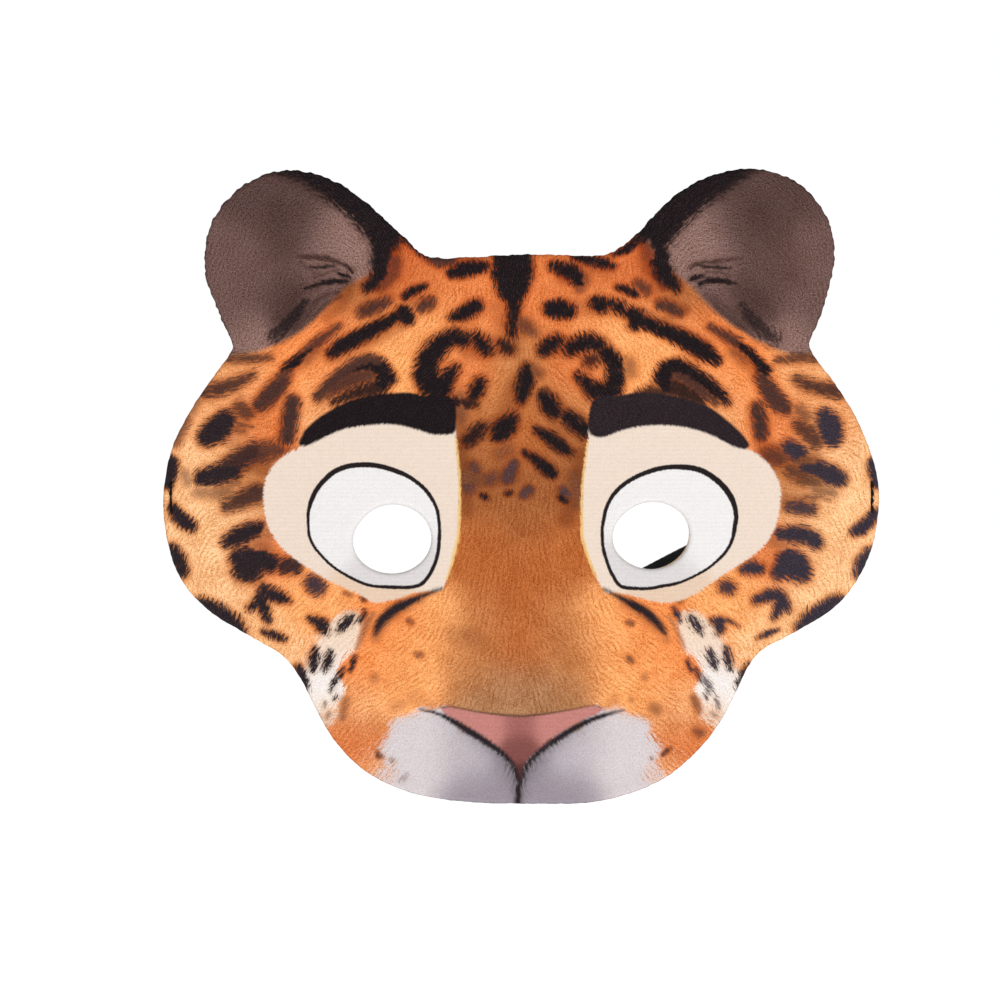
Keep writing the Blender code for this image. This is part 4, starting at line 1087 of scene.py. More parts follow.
def flat_piece(name, loops, front_extra, back_step, front_y, wall, back_y, mat):
    """A closed flat piece. front_y and back_y give Y in mm at points; wall is a list of (outward push, share of
    the way from front to back) for the rows of points on each cut edge."""
    front, tris, ids = triangulate(loops, front_extra)
    lo, hi = loops[0].min(axis=0), loops[0].max(axis=0)
    sparse = hex_points(lo, hi, back_step)
    sparse = sparse[inside(sparse, loops[0])]
    for loop in loops:
        sparse = sparse[loop_distance(sparse, loop[::3]) > 0.45 * back_step]
    for loop in loops[1:]:
        sparse = sparse[~inside(sparse, loop)]
    back, back_tris, back_ids = triangulate(loops, sparse)

    used = np.unique(tris)
    remap = {int(k): i for i, k in enumerate(used)}
    verts = [(float(x), float(y), float(z)) for (x, z), y in zip(front[used], front_y(front[used]))]
    faces = [(remap[int(a)], remap[int(b)], remap[int(c)]) for a, b, c in tris]
    base = len(verts)
    used_b = np.unique(back_tris)
    remap_b = {int(k): base + i for i, k in enumerate(used_b)}
    verts += [(float(x), float(y), float(z)) for (x, z), y in zip(back[used_b], back_y(back[used_b]))]
    faces += [(remap_b[int(c)], remap_b[int(b)], remap_b[int(a)]) for a, b, c in back_tris]
    for which, loop in enumerate(loops):
        push_dir = outward(loop) * (1.0 if which == 0 else -1.0)
        y_f, y_b = front_y(loop), back_y(loop)
        rows = [[remap[int(k)] for k in ids[which]]]
        for push, share in wall:
            amount = push(loop) if callable(push) else push
            ring = loop + push_dir * (amount[:, None] if np.ndim(amount) else amount)
            y = y_f + (y_b - y_f) * share
            start = len(verts)
            verts += [(float(x), float(yy), float(z)) for (x, z), yy in zip(ring, y)]
            rows.append(list(range(start, start + len(loop))))
        rows.append([remap_b[int(k)] for k in back_ids[which]])
        n = len(loop)
        for r0, r1 in zip(rows, rows[1:]):
            faces += [(r0[i], r0[(i + 1) % n], r1[(i + 1) % n], r1[i]) for i in range(n)]
    verts = [(x * MM, (y + float(bend(x, z))) * MM, z * MM) for x, y, z in verts]
    return make_object(name, verts, faces, mat)


def tack_groove(p):
    """How deep the stitches pull the plush in, in mm."""
    d = np.full(len(p), 1e9)
    for side in (-1.0, 1.0):
        a, b = np.array([side * TACK_X, TACK_Z - 4.4]), np.array([side * TACK_X, TACK_Z + 4.4])
        d = np.minimum(d, line_distance(p, a, b)[0])
    return d


TACK_X, TACK_Z, TACK_PITCH, TACK_HOLES = 103.1, 11.9, 2.3, 5


def plush_front(p):
    edge = loop_distance(p, RIM_COARSE)
    for loop in HOLES_COARSE:
        edge = np.minimum(edge, loop_distance(p, loop))
    t = np.clip(edge / 1.25, 0.0, 1.0)
    y = PLUSH[1] + 0.85 * (1.0 - np.sqrt(np.clip(1.0 - (1.0 - t) ** 2, 0.0, 1.0)))
    groove = tack_groove(p)
    y += 0.95 * np.exp(-((groove / 0.55) ** 2)) - 0.22 * np.exp(-(((groove - 1.5) / 0.8) ** 2))
    y -= 0.05 * soft_noise(p, 1.7, 3.0) * t + 0.07 * soft_noise(p, 6.0, 9.0) * t
    return y


def write_fields(obj, fields):
    mesh = obj.data
    for name, values in fields.items():
        if values.ndim == 1:
            layer = mesh.attributes.new(name, "FLOAT", "POINT")
            layer.data.foreach_set("value", values.astype(np.float32))
        else:
            layer = mesh.attributes.new(name, "FLOAT_COLOR", "POINT")
            layer.data.foreach_set("color", values.astype(np.float32).ravel())


def plush_material():
    s = Shader("printed_plush_fur", Roughness=0.95, Specular_IOR_Level=0.10, Sheen_Weight=0.03, Sheen_Roughness=0.45)
    co = s.object_mm()
    split = s.node("ShaderNodeSeparateXYZ")
    s.put(split.inputs[0], co)
    flat = s.node("ShaderNodeCombineXYZ")
    s.put(flat.inputs[0], split.outputs[0])
    s.put(flat.inputs[1], split.outputs[2])
    p2 = flat.outputs[0]

    def grey(value):
        n = s.node("ShaderNodeCombineXYZ")
        for k in range(3):
            s.put(n.inputs[k], value)
        return n.outputs[0]

    def tinted(value, strengths):
        n = s.node("ShaderNodeCombineXYZ")
        for k in range(3):
            s.put(n.inputs[k], s.math("MAXIMUM", s.add(1.0, s.mul(value, strengths[k])), 0.08))
        return n.outputs[0]

    lie = s.mul(s.math("ARCTAN2", s.attr("lie_sin").outputs["Fac"], s.attr("lie_cos").outputs["Fac"]), 0.5)
    sway = s.mul(s.sub(s.noise(p2, 0.35, 2.0), 0.5), 2.6)
    turn = s.add(s.add(lie, sway), math.pi / 2)
    hair = s.gabor(p2, 0.50, 2.9, turn, 0.95)
    tuft = s.gabor(p2, 0.24, 2.9, turn, 0.9)
    grain = s.noise(p2, 2.0, 2.0, 0.65)
    fleck = s.noise(p2, 3.1, 1.0, 0.5)
    blot = s.noise(p2, 0.13, 3.0, 0.6)
    speck = s.noise(p2, 0.6, 2.0, 0.55)
    hair0, tuft0, grain0, fleck0, blot0, speck0 = (s.sub(v, 0.5) for v in (hair, tuft, grain, fleck, blot, speck))
    ragged = s.add(s.add(s.mul(hair0, 2.7), s.mul(tuft0, 2.8)), s.add(s.mul(grain0, 2.2), s.mul(speck0, 2.2)))

    warm = s.attr("warm")
    ear = warm.outputs["Alpha"]
    share = s.smooth(s.add(s.attr("pale_share").outputs["Fac"], s.mul(ragged, 0.16)), 0.25, 0.80)
    col = s.mix(share, warm.outputs["Color"], s.attr("pale").outputs["Color"])

    # the coat's own mottling: darker, redder hair over paler hair
    rusty = s.smooth(s.add(s.add(s.mul(tuft0, 1.0), s.mul(speck0, 1.3)), s.mul(blot0, 1.0)), -0.42, 0.42)
    patchwork = s.mul(s.sub(1.0, ear), s.sub(1.0, share))
    darker = s.mix(1.0, col, (0.93, 0.79, 0.66), "MULTIPLY")
    lighter = s.mix(1.0, col, (1.12, 1.13, 1.20), "MULTIPLY")
    col = s.mix(patchwork, col, s.mix(rusty, darker, lighter))

    brown = s.smooth(s.add(s.attr("smudge").outputs["Fac"], s.mul(ragged, 0.16)), 0.0, 0.75)
    col = s.mix(s.mul(brown, 0.9), col, s.mix(1.0, col, (0.50, 0.36, 0.28), "MULTIPLY"))
    spot = s.attr("spot").outputs["Fac"]
    ink = s.attr("spot_ink")
    coat = s.mul(ink.outputs["Alpha"], s.mul(s.sub(1.0, s.mul(ear, 0.85)), s.sub(1.0, s.mul(share, 0.7))))
    wide = s.mul(s.smooth(s.add(spot, s.mul(ragged, 0.6)), -3.0, -0.5, 0.0, 0.42), coat)
    col = s.mix(wide, col, s.mix(1.0, col, (0.86, 0.62, 0.42), "MULTIPLY"))
    tight = s.mul(s.smooth(s.add(spot, s.mul(ragged, 0.9)), -1.9, 0.1, 0.0, 0.8), coat)
    col = s.mix(tight, col, s.mix(1.0, col, (0.50, 0.36, 0.27), "MULTIPLY"))
    marked = s.mul(s.smooth(s.add(spot, s.mul(ragged, 1.25)), -1.15, 1.05), ink.outputs["Alpha"])
    strand = s.smooth(s.add(s.mul(hair0, 1.0), s.add(s.mul(tuft0, 0.6), s.mul(grain0, 0.8))), -0.02, 0.42, 0.0, 0.30)
    strand = s.mul(strand, s.smooth(spot, 0.2, 2.6, 1.0, 0.25))
    col = s.mix(marked, col, s.mix(strand, ink.outputs["Color"], rgb(98, 64, 50)))

    # fur light and dark: strong on the coat, faint on the eyes' plain patches
    fur = s.add(s.add(s.mul(hair0, 0.50), s.mul(tuft0, 0.45)), s.add(s.mul(grain0, 1.7), s.mul(fleck0, 1.1)))
    fur = s.add(fur, s.mul(blot0, 0.30))
    calm = s.mul(s.sub(1.0, s.mul(share, 0.55)), s.add(1.0, s.mul(ear, 0.5)))
    col = s.mix(1.0, col, tinted(s.mul(fur, calm), (0.85, 1.1, 1.3)), "MULTIPLY")
    # a little light caught on the dark pile
    glint = s.mul(s.smooth(s.add(grain, s.mul(hair0, 0.8)), 0.50, 0.80), 0.013)
    col = s.mix(1.0, col, grey(glint), "ADD")

    patch = s.smooth(s.add(s.attr("patch").outputs["Fac"], s.mul(ragged, 0.26)), -0.42, 0.42)
    rows = s.math("SINE", s.add(s.mul(split.outputs[2], 2 * math.pi / 1.25), s.mul(grain, 3.0)))
    faint = s.add(s.add(s.mul(hair0, 0.08), s.mul(grain0, 0.30)), s.add(s.mul(speck0, 0.10), s.mul(rows, 0.018)))
    plain = tinted(faint, (0.9, 1.1, 1.3))
    cream = s.mix(1.0, s.attr("cream").outputs["Color"], plain, "MULTIPLY")
    col = s.mix(patch, col, cream)
    rim = s.mul(s.smooth(s.add(s.attr("rim").outputs["Fac"], s.mul(ragged, 0.6)), -1.1, 0.9), 0.8)
    col = s.mix(rim, col, rgb(244, 198, 120))

    nose = s.smooth(s.add(s.attr("nose").outputs["Fac"], s.mul(ragged, 0.12)), -0.3, 0.3)
    skin = tinted(s.add(s.mul(grain0, 0.75), s.add(s.mul(speck0, 0.25), s.mul(rows, 0.03))), (0.8, 1.1, 1.1))
    pink = s.mix(1.0, s.attr("nose_pink").outputs["Color"], skin, "MULTIPLY")
    dusk = s.math("MULTIPLY", s.attr("shade").outputs["Fac"], s.add(1.0, s.mul(ragged, 0.5)), clamp=True)
    col = s.mix(dusk, col, rgb(66, 60, 62))
    col = s.mix(nose, col, pink)

    line = s.attr("line").outputs["Fac"]
    line_ink = s.attr("line_ink")
    drawn = s.mul(s.smooth(s.add(line, s.mul(ragged, 0.4)), -1.1, 1.1), line_ink.outputs["Alpha"])
    black = s.mix(1.0, line_ink.outputs["Color"], tinted(fur, (1.2, 1.2, 1.2)), "MULTIPLY")
    black = s.mix(1.0, black, grey(glint), "ADD")
    col = s.mix(drawn, col, black)

    eye = s.add(s.attr("eye").outputs["Fac"], s.mul(ragged, 0.08))
    outline = s.smooth(eye, -0.22, 0.18)
    col = s.mix(outline, col, rgb(34, 27, 28))
    white = s.smooth(s.sub(eye, s.attr("eye_line").outputs["Fac"]), -0.20, 0.20)
    col = s.mix(white, col, s.mix(1.0, s.attr("eye_white").outputs["Color"], plain, "MULTIPLY"))

    # cut edges are a touch darker within half a millimetre, most of all round the ears
    cut = s.add(s.attr("edge").outputs["Fac"], s.mul(grain0, 0.5))
    col = s.mix(1.0, col, grey(s.smooth(cut, 0.0, 0.55, s.sub(0.80, s.mul(ear, 0.30)), 1.0)), "MULTIPLY")
    gain = s.node("ShaderNodeVectorMath", operation="SCALE")
    s.put(gain.inputs[0], col)
    gain.inputs["Scale"].default_value = ALBEDO
    s.put(s.bsdf.inputs["Base Color"], gain.outputs[0])

    height = s.add(s.add(s.mul(hair, 0.12), s.mul(tuft, 0.12)), s.add(s.mul(grain, 1.0), s.add(s.mul(speck, 0.5), s.mul(fleck, 0.4))))
    s.bump(height, 0.00022, 0.6)
    return s.mat


ALBEDO = 0.785


def foam_material():
    s = Shader("cut_foam", Roughness=0.95, Specular_IOR_Level=0.2)
    co = s.object_mm()
    cells = s.node("ShaderNodeTexVoronoi")
    s.put(cells.inputs["Vector"], co)
    cells.inputs["Scale"].default_value = 2.6
    grit = s.noise(co, 1.3, 3.0, 0.6)
    singed = s.noise(co, 0.16, 2.0, 0.5)
    col = s.mix(s.smooth(grit, 0.3, 0.75), rgb(206, 172, 128), rgb(226, 196, 156))
    col = s.mix(s.mul(s.smooth(singed, 0.42, 0.7), 0.6), col, rgb(150, 112, 78))
    # painted shade: the foam's colour goes darker in its pores, the hollows that the bump carves
    col = s.mix(s.smooth(cells.outputs["Distance"], 0.0, 0.35, 0.5, 0.0), col, rgb(132, 98, 66))
    s.put(s.bsdf.inputs["Base Color"], col)
    s.bump(s.add(cells.outputs["Distance"], s.mul(grit, 0.6)), 0.0003, 0.8)
    return s.mat


def felt_material():
    s = Shader("felt_backing", Roughness=0.97, Specular_IOR_Level=0.1, Sheen_Weight=0.35, Sheen_Roughness=0.5)
    s.bsdf.inputs["Sheen Tint"].default_value = (0.75, 0.75, 0.8, 1.0)
    co = s.object_mm()
    fuzz = s.noise(co, 1.7, 4.0, 0.65)
    wool = s.noise(co, 0.35, 3.0, 0.6)
    patchy = s.noise(co, 0.05, 2.0, 0.5)
    strands = s.node("ShaderNodeTexNoise")
    squash = s.node("ShaderNodeMapping")
    squash.inputs["Rotation"].default_value = (0.0, 0.6, 0.0)
    squash.inputs["Scale"].default_value = (0.5, 1.0, 3.2)
    s.put(squash.inputs["Vector"], co)
    s.put(strands.inputs["Vector"], squash.outputs[0])
    strands.inputs["Scale"].default_value = 1.0
    strands.inputs["Distortion"].default_value = 1.4
    col = s.mix(s.smooth(wool, 0.3, 0.72), rgb(50, 47, 50), rgb(76, 72, 75))
    col = s.mix(s.mul(s.smooth(strands.outputs[0], 0.6, 0.72), 0.5), col, rgb(112, 107, 110))
    col = s.mix(s.mul(s.smooth(fuzz, 0.55, 0.75), 0.35), col, rgb(34, 32, 34))
    col = s.mix(s.smooth(patchy, 0.35, 0.7, 0.0, 0.3), col, rgb(88, 84, 87))
    s.put(s.bsdf.inputs["Base Color"], col)
    s.bump(s.add(s.add(s.mul(fuzz, 0.6), s.mul(wool, 0.5)), s.mul(strands.outputs[0], 0.4)), 0.0004, 0.9)
    return s.mat


def strap_material():
    s = Shader("knitted_elastic", Roughness=0.7, Specular_IOR_Level=0.35, Sheen_Weight=0.15, Sheen_Roughness=0.4)
    along = s.attr("along").outputs["Fac"]
    across = s.attr("across").outputs["Fac"]
    stitch = s.math("SINE", s.mul(along, 2 * math.pi / 0.9))
    rib = s.math("SINE", s.mul(across, 2 * math.pi / 0.72))
    loops = s.math("SINE", s.add(s.mul(along, 2 * math.pi / 0.9), s.mul(across, 2 * math.pi / 1.44)))
    knit = s.add(s.mul(stitch, 0.3), s.add(s.mul(rib, 0.4), s.mul(loops, 0.4)))
    where = s.node("ShaderNodeCombineXYZ")
    s.put(where.inputs[0], along)
    s.put(where.inputs[1], across)
    grit = s.noise(where.outputs[0], 2.5, 2.0, 0.6)
    # painted highlight: the raised loops of the knit are coloured lighter than the hollows between them
    col = s.mix(s.smooth(s.add(knit, s.mul(grit, 0.8)), -0.4, 1.2), rgb(7, 6, 7), rgb(30, 28, 30))
    s.put(s.bsdf.inputs["Base Color"], col)
    s.bump(s.add(s.mul(knit, 0.6), s.mul(grit, 0.5)), 0.0001, 0.6)
    return s.mat


def thread_material():
    s = Shader("polyester_thread", Roughness=0.65, Specular_IOR_Level=0.15)
    along = s.attr("along").outputs["Fac"]
    around = s.attr("across").outputs["Fac"]
    ply = s.math("SINE", s.add(s.mul(along, 2 * math.pi / 0.55), s.mul(around, 2.0)))
    # painted highlight: the crest of each twisted ply is coloured lighter
    col = s.mix(s.smooth(ply, -0.6, 0.8), rgb(3, 3, 3), rgb(16, 14, 15))
    s.put(s.bsdf.inputs["Base Color"], col)
    s.bump(ply, 0.00006, 0.7)
    return s.mat


# ---------------------------------------------------------------- strap

STRAP_W, STRAP_T, STRAP_TIP_X = 8.0, 1.2, 104.6
HINGE_Y, HINGE_Z, LEAN = 5.0, 10.9, 0.4
STRAP_RIGHT_DROP = [(88.0, 0.0, 0.0), (78.0, 3.6, 8.0), (66.0, 9.2, 18.0), (48.3, 17.5, 32.0), (35.1, 24.0, 42.0), (20.0, 31.4, 50.0)]
STRAP_LOW = [(5.0, 36.3, 54.0), (-8.0, 37.3, 54.0), (-20.0, 35.7, 52.0)]
STRAP_LEFT_DROP = [(-32.0, 31.7, 46.0), (-42.0, 26.9, 40.0), (-52.0, 20.8, 32.0), (-66.0, 11.3, 20.0), (-78.0, 4.2, 8.0), (-88.0, 0.0, 0.0)]


def strap_line(step):
    """The strap's centre line from right to left: X, Y, Z in mm and the twist in degrees, evenly spaced."""
    flat_y = 0.3 + STRAP_T / 2
    right = [(STRAP_TIP_X, flat_y, TACK_Z, 0.0), (TACK_X - 1.8, flat_y, TACK_Z, 0.0), (95.6, 2.35, TACK_Z - 0.1, 0.0)]
    left = [(-x, y, z, a) for x, y, z, a in reversed(right)]
    loop = [(x, HINGE_Y + LEAN * d, HINGE_Z - d, a) for x, d, a in STRAP_RIGHT_DROP + STRAP_LOW + STRAP_LEFT_DROP]
    dense = curve(right + loop + left, 0.1, closed=False)
    run = np.concatenate([[0.0], np.cumsum(np.linalg.norm(np.diff(dense[:, :3], axis=0), axis=1))])
    count = int(round(run[-1] / step))
    at = np.linspace(0.0, run[-1], count + 1)
    return np.stack([np.interp(at, run, dense[:, k]) for k in range(4)], axis=1), at


def rib_profile():
    """The strap's cross-section: (across, thick) in mm, round the whole of it."""
    half_w, half_t = STRAP_W / 2, STRAP_T / 2
    n = 26
    top = []
    for k in range(n + 1):
        w = -half_w + 0.35 + (STRAP_W - 0.7) * k / n
        edge = min(1.0, (half_w - abs(w)) / 0.9)
        rib = 0.11 * (0.5 + 0.5 * math.cos(math.pi * k))
        top.append((w, (half_t - 0.12) * math.sqrt(max(0.0, 1 - (1 - edge) ** 2)) * 0.98 + 0.02 - rib * edge + 0.11 * edge))
    side = [(half_w - 0.10, 0.22), (half_w, 0.0), (half_w - 0.10, -0.22)]
    bottom = [(w, -t) for w, t in reversed(top)]
    return top + side + bottom + [(-w, t) for w, t in reversed(side)]


def make_strap():
    line, at = strap_line(0.5)
    profile = rib_profile()
    pts = line[:, :3]
    tangent = np.gradient(pts, axis=0)
    tangent /= np.linalg.norm(tangent, axis=1)[:, None]
    verts, along, across = [], [], []
    rng = np.random.default_rng(11)
    for k, (centre, tan) in enumerate(zip(pts, tangent)):
        square = min(1.0, max(0.0, (abs(centre[0]) - 70.0) / 12.0))
        way = Vector(tan * (1 - square) + np.array((-1.0, 0.0, 0.0)) * square).normalized()
        twist = math.radians(line[k, 3])
        up = Vector((0.0, math.sin(twist), math.cos(twist)))
        width = (up - way * up.dot(way)).normalized()
        thick = way.cross(width).normalized()
        pinch = math.exp(-(((abs(centre[0]) - TACK_X) / 0.7) ** 2))
        tip = ramp(abs(centre[0]), STRAP_TIP_X - 0.5, STRAP_TIP_X)
        back = float(bend(centre[0], centre[2])) if abs(centre[0]) > 80 else 0.0
        weave = math.sin(at[k] * 2 * math.pi / 1.0)
        for j, (w, t) in enumerate(profile):
            ripple = 0.035 * weave * (1 if j % 2 else -1) if abs(t) > 0.3 else 0.0
            tt = t + math.copysign(ripple, t) - math.copysign(0.30 * pinch * min(1.0, abs(t) * 2) * (1 if t > 0 else 0.15), t)
            tt *= 1.0 - 0.35 * tip
            ww = w * (1.0 - 0.03 * tip) + (0.03 * math.sin(at[k] * 3.1) if abs(w) > 3.8 else 0.0)
            q = Vector(centre) + width * ww + thick * tt
            verts.append((q.x * MM, (q.y + back) * MM, q.z * MM))
            along.append(at[k])
            across.append(w + (0.4 if t < 0 else 0.0))
    m = len(profile)
    faces = []
    for k in range(len(pts) - 1):
        a, b = k * m, (k + 1) * m
        faces += [(a + j, a + (j + 1) % m, b + (j + 1) % m, b + j) for j in range(m)]
    first, last = len(verts), len(verts) + 1
    for ring in (0, len(pts) - 1):
        c = np.mean(np.array(verts[ring * m : ring * m + m]), axis=0)
        verts.append(tuple(float(x) for x in c))
        along.append(at[ring])
        across.append(0.0)
    faces += [(first, (j + 1) % m, j) for j in range(m)]
    base = (len(pts) - 1) * m
    faces += [(last, base + j, base + (j + 1) % m) for j in range(m)]
    obj = make_object("elastic_strap", verts, faces, strap_material())
    write_fields(obj, {"along": np.array(along), "across": np.array(across)})
    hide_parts("strap_end_left", "strap_end_right", "strap_loop")
    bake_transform(obj)
    path = [tuple(float(c) * MM for c in q) for q in pts[:: max(1, len(pts) // 70)]]
    path[-1] = tuple(float(c) * MM for c in pts[-1])
    return float(at[-1])


# ---------------------------------------------------------------- tack stitches


def tube(points, radius, sides=10):
    """A closed tube along the points, in mm: its vertices, faces, and place along and around."""
    line = curve(points, 0.12, closed=False)
    tangent = np.gradient(line, axis=0)
    tangent /= np.linalg.norm(tangent, axis=1)[:, None]
    run = np.concatenate([[0.0], np.cumsum(np.linalg.norm(np.diff(line, axis=0), axis=1))])
    verts, faces, along, around = [], [], [], []
    side = Vector((1.0, 0.0, 0.0))
    for k, (c, t) in enumerate(zip(line, tangent)):
        t = Vector(t)
        side = (side - t * side.dot(t)).normalized()
        other = t.cross(side)
        end = min(run[k], run[-1] - run[k]) / radius
        r = radius * math.sqrt(max(0.05, 1 - max(0.0, 1 - end) ** 2))
        for j in range(sides):
            a = 2 * math.pi * j / sides
            ply = 1.0 + 0.10 * math.cos(2 * a - run[k] * 2 * math.pi / 1.1)
            q = Vector(c) + (side * math.cos(a) + other * math.sin(a)) * r * ply
            verts.append((q.x, q.y, q.z))
            along.append(run[k])
            around.append(a)
    for k in range(len(line) - 1):
        a, b = k * sides, (k + 1) * sides
        faces += [(a + j, a + (j + 1) % sides, b + (j + 1) % sides, b + j) for j in range(sides)]
    faces.append(tuple(reversed(range(sides))))
    last = (len(line) - 1) * sides
    faces.append(tuple(range(last, last + sides)))
    return verts, faces, along, around


def make_stitches(word, side, which, mat):
    """The thread showing on one face of a tack: short sewn stitches in a row, gone over twice."""
    rng = np.random.default_rng((3 if side > 0 else 5) + (10 if which == "needle" else 0))
    offsets = [(i - (TACK_HOLES - 1) / 2) * TACK_PITCH for i in range(TACK_HOLES)]
    x0 = side * TACK_X
    verts, faces, along, around = [], [], [], []

    def stitch(z_a, z_b, x_a, x_b, lift, r):
        if which == "needle":
            deep, top = -3.9, -4.62 - lift
        else:
            deep, top = 0.95, 1.52 + lift
        pts = [
            (x0 + x_a, deep, z_a),
            (x0 + x_a, (deep + 2.5 * top) / 3.5, z_a + 0.08 * np.sign(z_b - z_a)),
            (x0 + x_a * 0.7 + x_b * 0.3, top, z_a + 0.28 * (z_b - z_a)),
            (x0 + x_a * 0.3 + x_b * 0.7, top, z_a + 0.72 * (z_b - z_a)),
            (x0 + x_b, (deep + 2.5 * top) / 3.5, z_b - 0.08 * np.sign(z_b - z_a)),
            (x0 + x_b, deep, z_b),
        ]
        v, f, al, ar = tube(np.array(pts), r)
        start = len(verts)
        verts.extend(v)
        faces.extend([tuple(start + i for i in face) for face in f])
        along.extend(al)
        around.extend(ar)

    for a, b in zip(offsets, offsets[1:]):
        wob = rng.uniform(-0.10, 0.10, 4)
        stitch(TACK_Z + a + 0.10, TACK_Z + b - 0.10, wob[0], wob[1], 0.0, 0.29)
    for a, b in zip(offsets[:-1], offsets[1:]):
        wob = rng.uniform(-0.16, 0.16, 2)
        shift = rng.uniform(0.45, 0.85)
        if rng.uniform() < 0.8:
            lean = 0.55 * side if which == "needle" else 0.3 * side
            stitch(TACK_Z + a + shift, TACK_Z + b - 0.35, lean + wob[0], wob[1] * 0.5, 0.22, 0.25)
    verts = [(x * MM, (y + float(bend(x, z))) * MM, z * MM) for x, y, z in verts]
    obj = make_object(f"{which}_stitches_{word}", verts, faces, mat)
    write_fields(obj, {"along": np.array(along), "across": np.array(around)})
    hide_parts(f"{which}_thread_{word}")
    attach(obj, "mask")
    return obj


# ---------------------------------------------------------------- build

make_camera()
make_studio()
strap_length = make_strap()

RIM = fray(grid_curve(OUTLINE, 0.42), 7, 0.045, 0.13)
RIM_COARSE = grid_curve(OUTLINE, 1.6)
HOLES = [eye_loop(-1), eye_loop(1)]
HOLES_COARSE = [eye_loop(-1, step=1.2), eye_loop(1, step=1.2)]


def face_points():
    """The plush's inner points: an even field, closer together along the drawing's fine lines."""
    rng = np.random.default_rng(21)
    lo, hi = RIM.min(axis=0), RIM.max(axis=0)
    even = hex_points(lo, hi, 0.84, rng)
    fine = hex_points(lo, hi, 0.42, rng)
    keep = np.zeros(len(fine), dtype=bool)
    for loop in (EYE_LEFT, EYE_RIGHT):
        pts = grid_curve(loop, 1.5)
        idx = near(fine, pts, 3.0)
        keep[idx] |= loop_distance(fine[idx], pts) < 1.7
    depth = ink_field(fine, LINES)[0]
    keep |= depth > -2.2
    keep |= ink_field(fine, [("K", 0.3, 1.0, c) for c in YELLOW_RIM])[0] > -2.0
    keep |= tack_groove(fine) < 1.6
    folds = [row for row in EARS if row[1] <= 0.5]
    keep |= ink_field(fine, folds)[0] > -1.0
    fine = fine[keep]
    taken = np.zeros(len(even), dtype=bool)
    for loop in (EYE_LEFT, EYE_RIGHT):
        pts = grid_curve(loop, 1.5)
        idx = near(even, pts, 3.0)
        taken[idx] |= loop_distance(even[idx], pts) < 1.7
    taken |= ink_field(even, LINES)[0] > -2.2
    taken |= ink_field(even, [("K", 0.3, 1.0, c) for c in YELLOW_RIM])[0] > -2.0
    taken |= tack_groove(even) < 1.6
    taken |= ink_field(even, folds)[0] > -1.0
    pts = np.concatenate([even[~taken], fine])
    pts = pts[inside(pts, RIM_COARSE)]
    edge = loop_distance(pts, RIM_COARSE)
    for loop in HOLES_COARSE:
        edge = np.minimum(edge, np.where(inside(pts, loop), 0.0, loop_distance(pts, loop)))
    pts = pts[edge > 1.35]
    rings = []
    for loop, sign in ((grid_curve(OUTLINE, 0.55), -1.0), (HOLES[0], 1.0), (HOLES[1], 1.0)):
        normals = outward(loop)
        for inset in (0.28, 0.62, 1.02):
            rings.append(loop + sign * normals * inset)
    rings = np.concatenate(rings)
    edge = loop_distance(rings, RIM_COARSE)
    for loop in HOLES_COARSE:
        edge = np.minimum(edge, loop_distance(rings, loop))
    rings = rings[inside(rings, RIM_COARSE) & (edge > 0.2)]
    return np.concatenate([pts, rings])


plush = flat_piece(
    "plush_face",
    [RIM] + HOLES,
    face_points(),
    6.0,
    plush_front,
    [(0.10, 0.35), (0.12, 0.65)],
    lambda p: np.full(len(p), PLUSH[0]),
    plush_material(),
)
co = np.empty(len(plush.data.vertices) * 3, dtype=np.float32)
plush.data.vertices.foreach_get("co", co)
co = co.reshape(-1, 3).astype(float) / MM
where = co[:, [0, 2]]
fields = draw(where)
edge = loop_distance(where, RIM_COARSE)
for loop in HOLES_COARSE:
    edge = np.minimum(edge, loop_distance(where, loop) + 0.25)
fields["edge"] = edge
write_fields(plush, fields)
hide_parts("face_plush")
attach(plush, "mask")


def cut_loops(grow, seed, amount):
    rng = np.random.default_rng(seed)
    line = grid_curve(OUTLINE, 0.9)
    normals = outward(line)
    line = line + normals * (grow + rng.uniform(-amount, amount, len(line)))[:, None]

    def lip(a):
        # at the right eye the foam shows as a thin tan lip below and to the right
        deg = np.degrees(a)
        delta = (deg - 318.0 + 180.0) % 360.0 - 180.0
        return 0.12 - 0.50 * np.exp(-((delta / 42.0) ** 2))

    left = eye_loop(-1, grow=0.12, step=0.8)
    right = eye_loop(1, grow=lip, step=0.8)
    return [line, left, right]


foam_loops = cut_loops(-0.10, 31, 0.06)


def foam_cells(loop):
    return 0.07 * np.array([noise.noise(Vector((x * 1.3, z * 1.3, 4.0))) for x, z in loop])


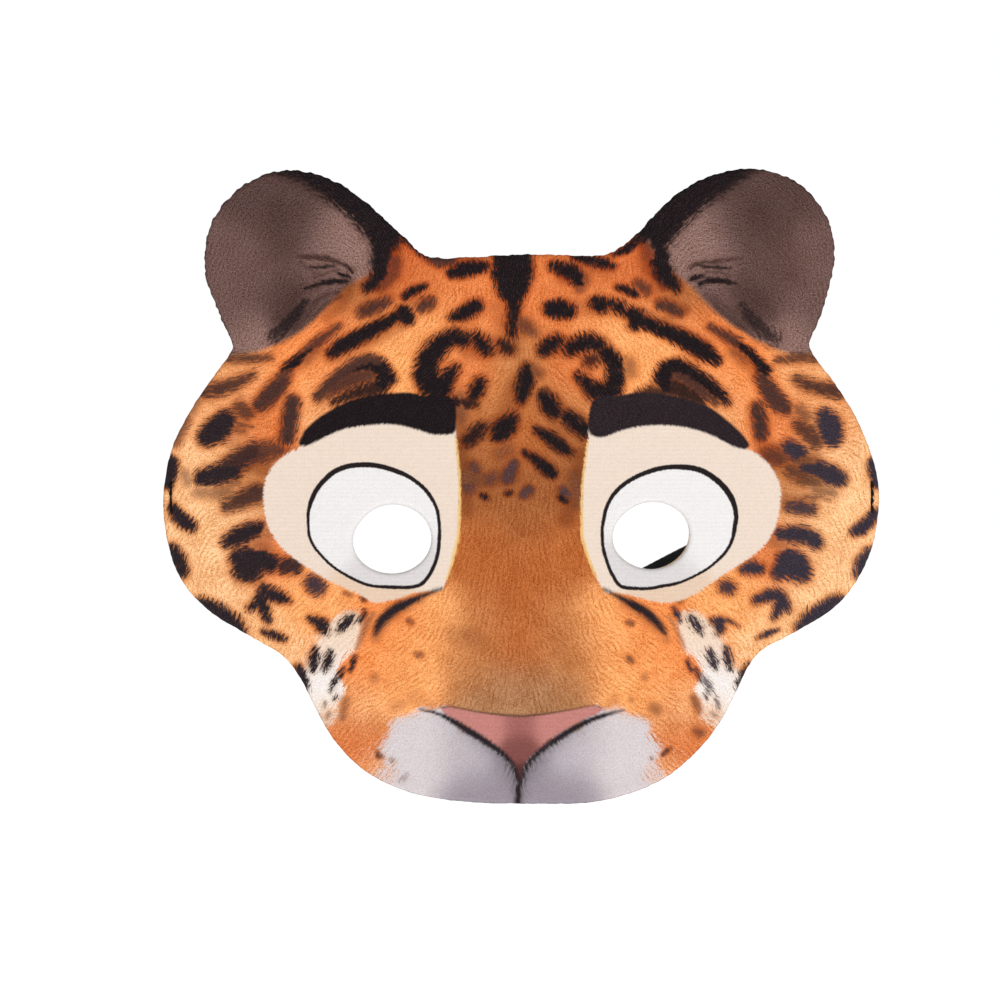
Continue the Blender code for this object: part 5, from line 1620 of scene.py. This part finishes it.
foam = flat_piece(
    "foam_sheet",
    foam_loops,
    hex_points(foam_loops[0].min(axis=0), foam_loops[0].max(axis=0), 7.0)[
        inside(hex_points(foam_loops[0].min(axis=0), foam_loops[0].max(axis=0), 7.0), 0.97 * foam_loops[0])
    ],
    7.0,
    lambda p: np.full(len(p), FOAM[1]),
    [(foam_cells, 0.06), (foam_cells, 0.35), (lambda q: 1.3 * foam_cells(q + 7.0), 0.65), (foam_cells, 0.94)],
    lambda p: np.full(len(p), FOAM[0]),
    foam_material(),
)
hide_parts("foam_core")
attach(foam, "mask")

felt_loops = cut_loops(-0.04, 41, 0.05)


def felt_back(p):
    edge = loop_distance(p, felt_loops[0][::2])
    for loop in felt_loops[1:]:
        edge = np.minimum(edge, loop_distance(p, loop[::2]))
    t = np.clip(edge / 1.0, 0.0, 1.0)
    y = LINING[0] - 0.35 * (1.0 - np.sqrt(np.clip(1.0 - (1.0 - t) ** 2, 0.0, 1.0)))
    y += 0.05 * soft_noise(p, 9.0, 5.0) + 0.035 * soft_noise(p, 2.6, 8.0) * t - 0.05
    pressed = np.exp(-((tack_groove(p) / 0.9) ** 2))
    return y - 0.15 * pressed


def felt_points():
    pts = hex_points(felt_loops[0].min(axis=0), felt_loops[0].max(axis=0), 1.9)
    pts = pts[inside(pts, felt_loops[0])]
    edge = loop_distance(pts, felt_loops[0][::2])
    for loop in felt_loops[1:]:
        edge = np.minimum(edge, np.where(inside(pts, loop), 0.0, loop_distance(pts, loop[::2])))
    pts = pts[edge > 1.3]
    rings = []
    for loop, sign in ((felt_loops[0], -1.0), (felt_loops[1], 1.0), (felt_loops[2], 1.0)):
        for inset in (0.3, 0.8):
            rings.append(loop + sign * outward(loop) * inset)
    return np.concatenate([pts] + rings)


lining = flat_piece(
    "felt_lining",
    felt_loops,
    felt_points(),
    7.0,
    felt_back,
    [(0.05, 0.4), (0.04, 0.8)],
    lambda p: np.full(len(p), LINING[1]),
    felt_material(),
)
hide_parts("back_lining")
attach(lining, "mask")

stitch_mat = thread_material()
for word, side in (("left", -1), ("right", 1)):
    for which in ("needle", "bobbin"):
        make_stitches(word, side, which, stitch_mat)

outer = RIM_COARSE
nxt = np.roll(outer, -1, axis=0)
AREA = abs(float(np.sum(outer[:, 0] * nxt[:, 1] - nxt[:, 0] * outer[:, 1]))) / 2
for loop in HOLES_COARSE:
    nxt = np.roll(loop, -1, axis=0)
    AREA -= abs(float(np.sum(loop[:, 0] * nxt[:, 1] - nxt[:, 0] * loop[:, 1]))) / 2
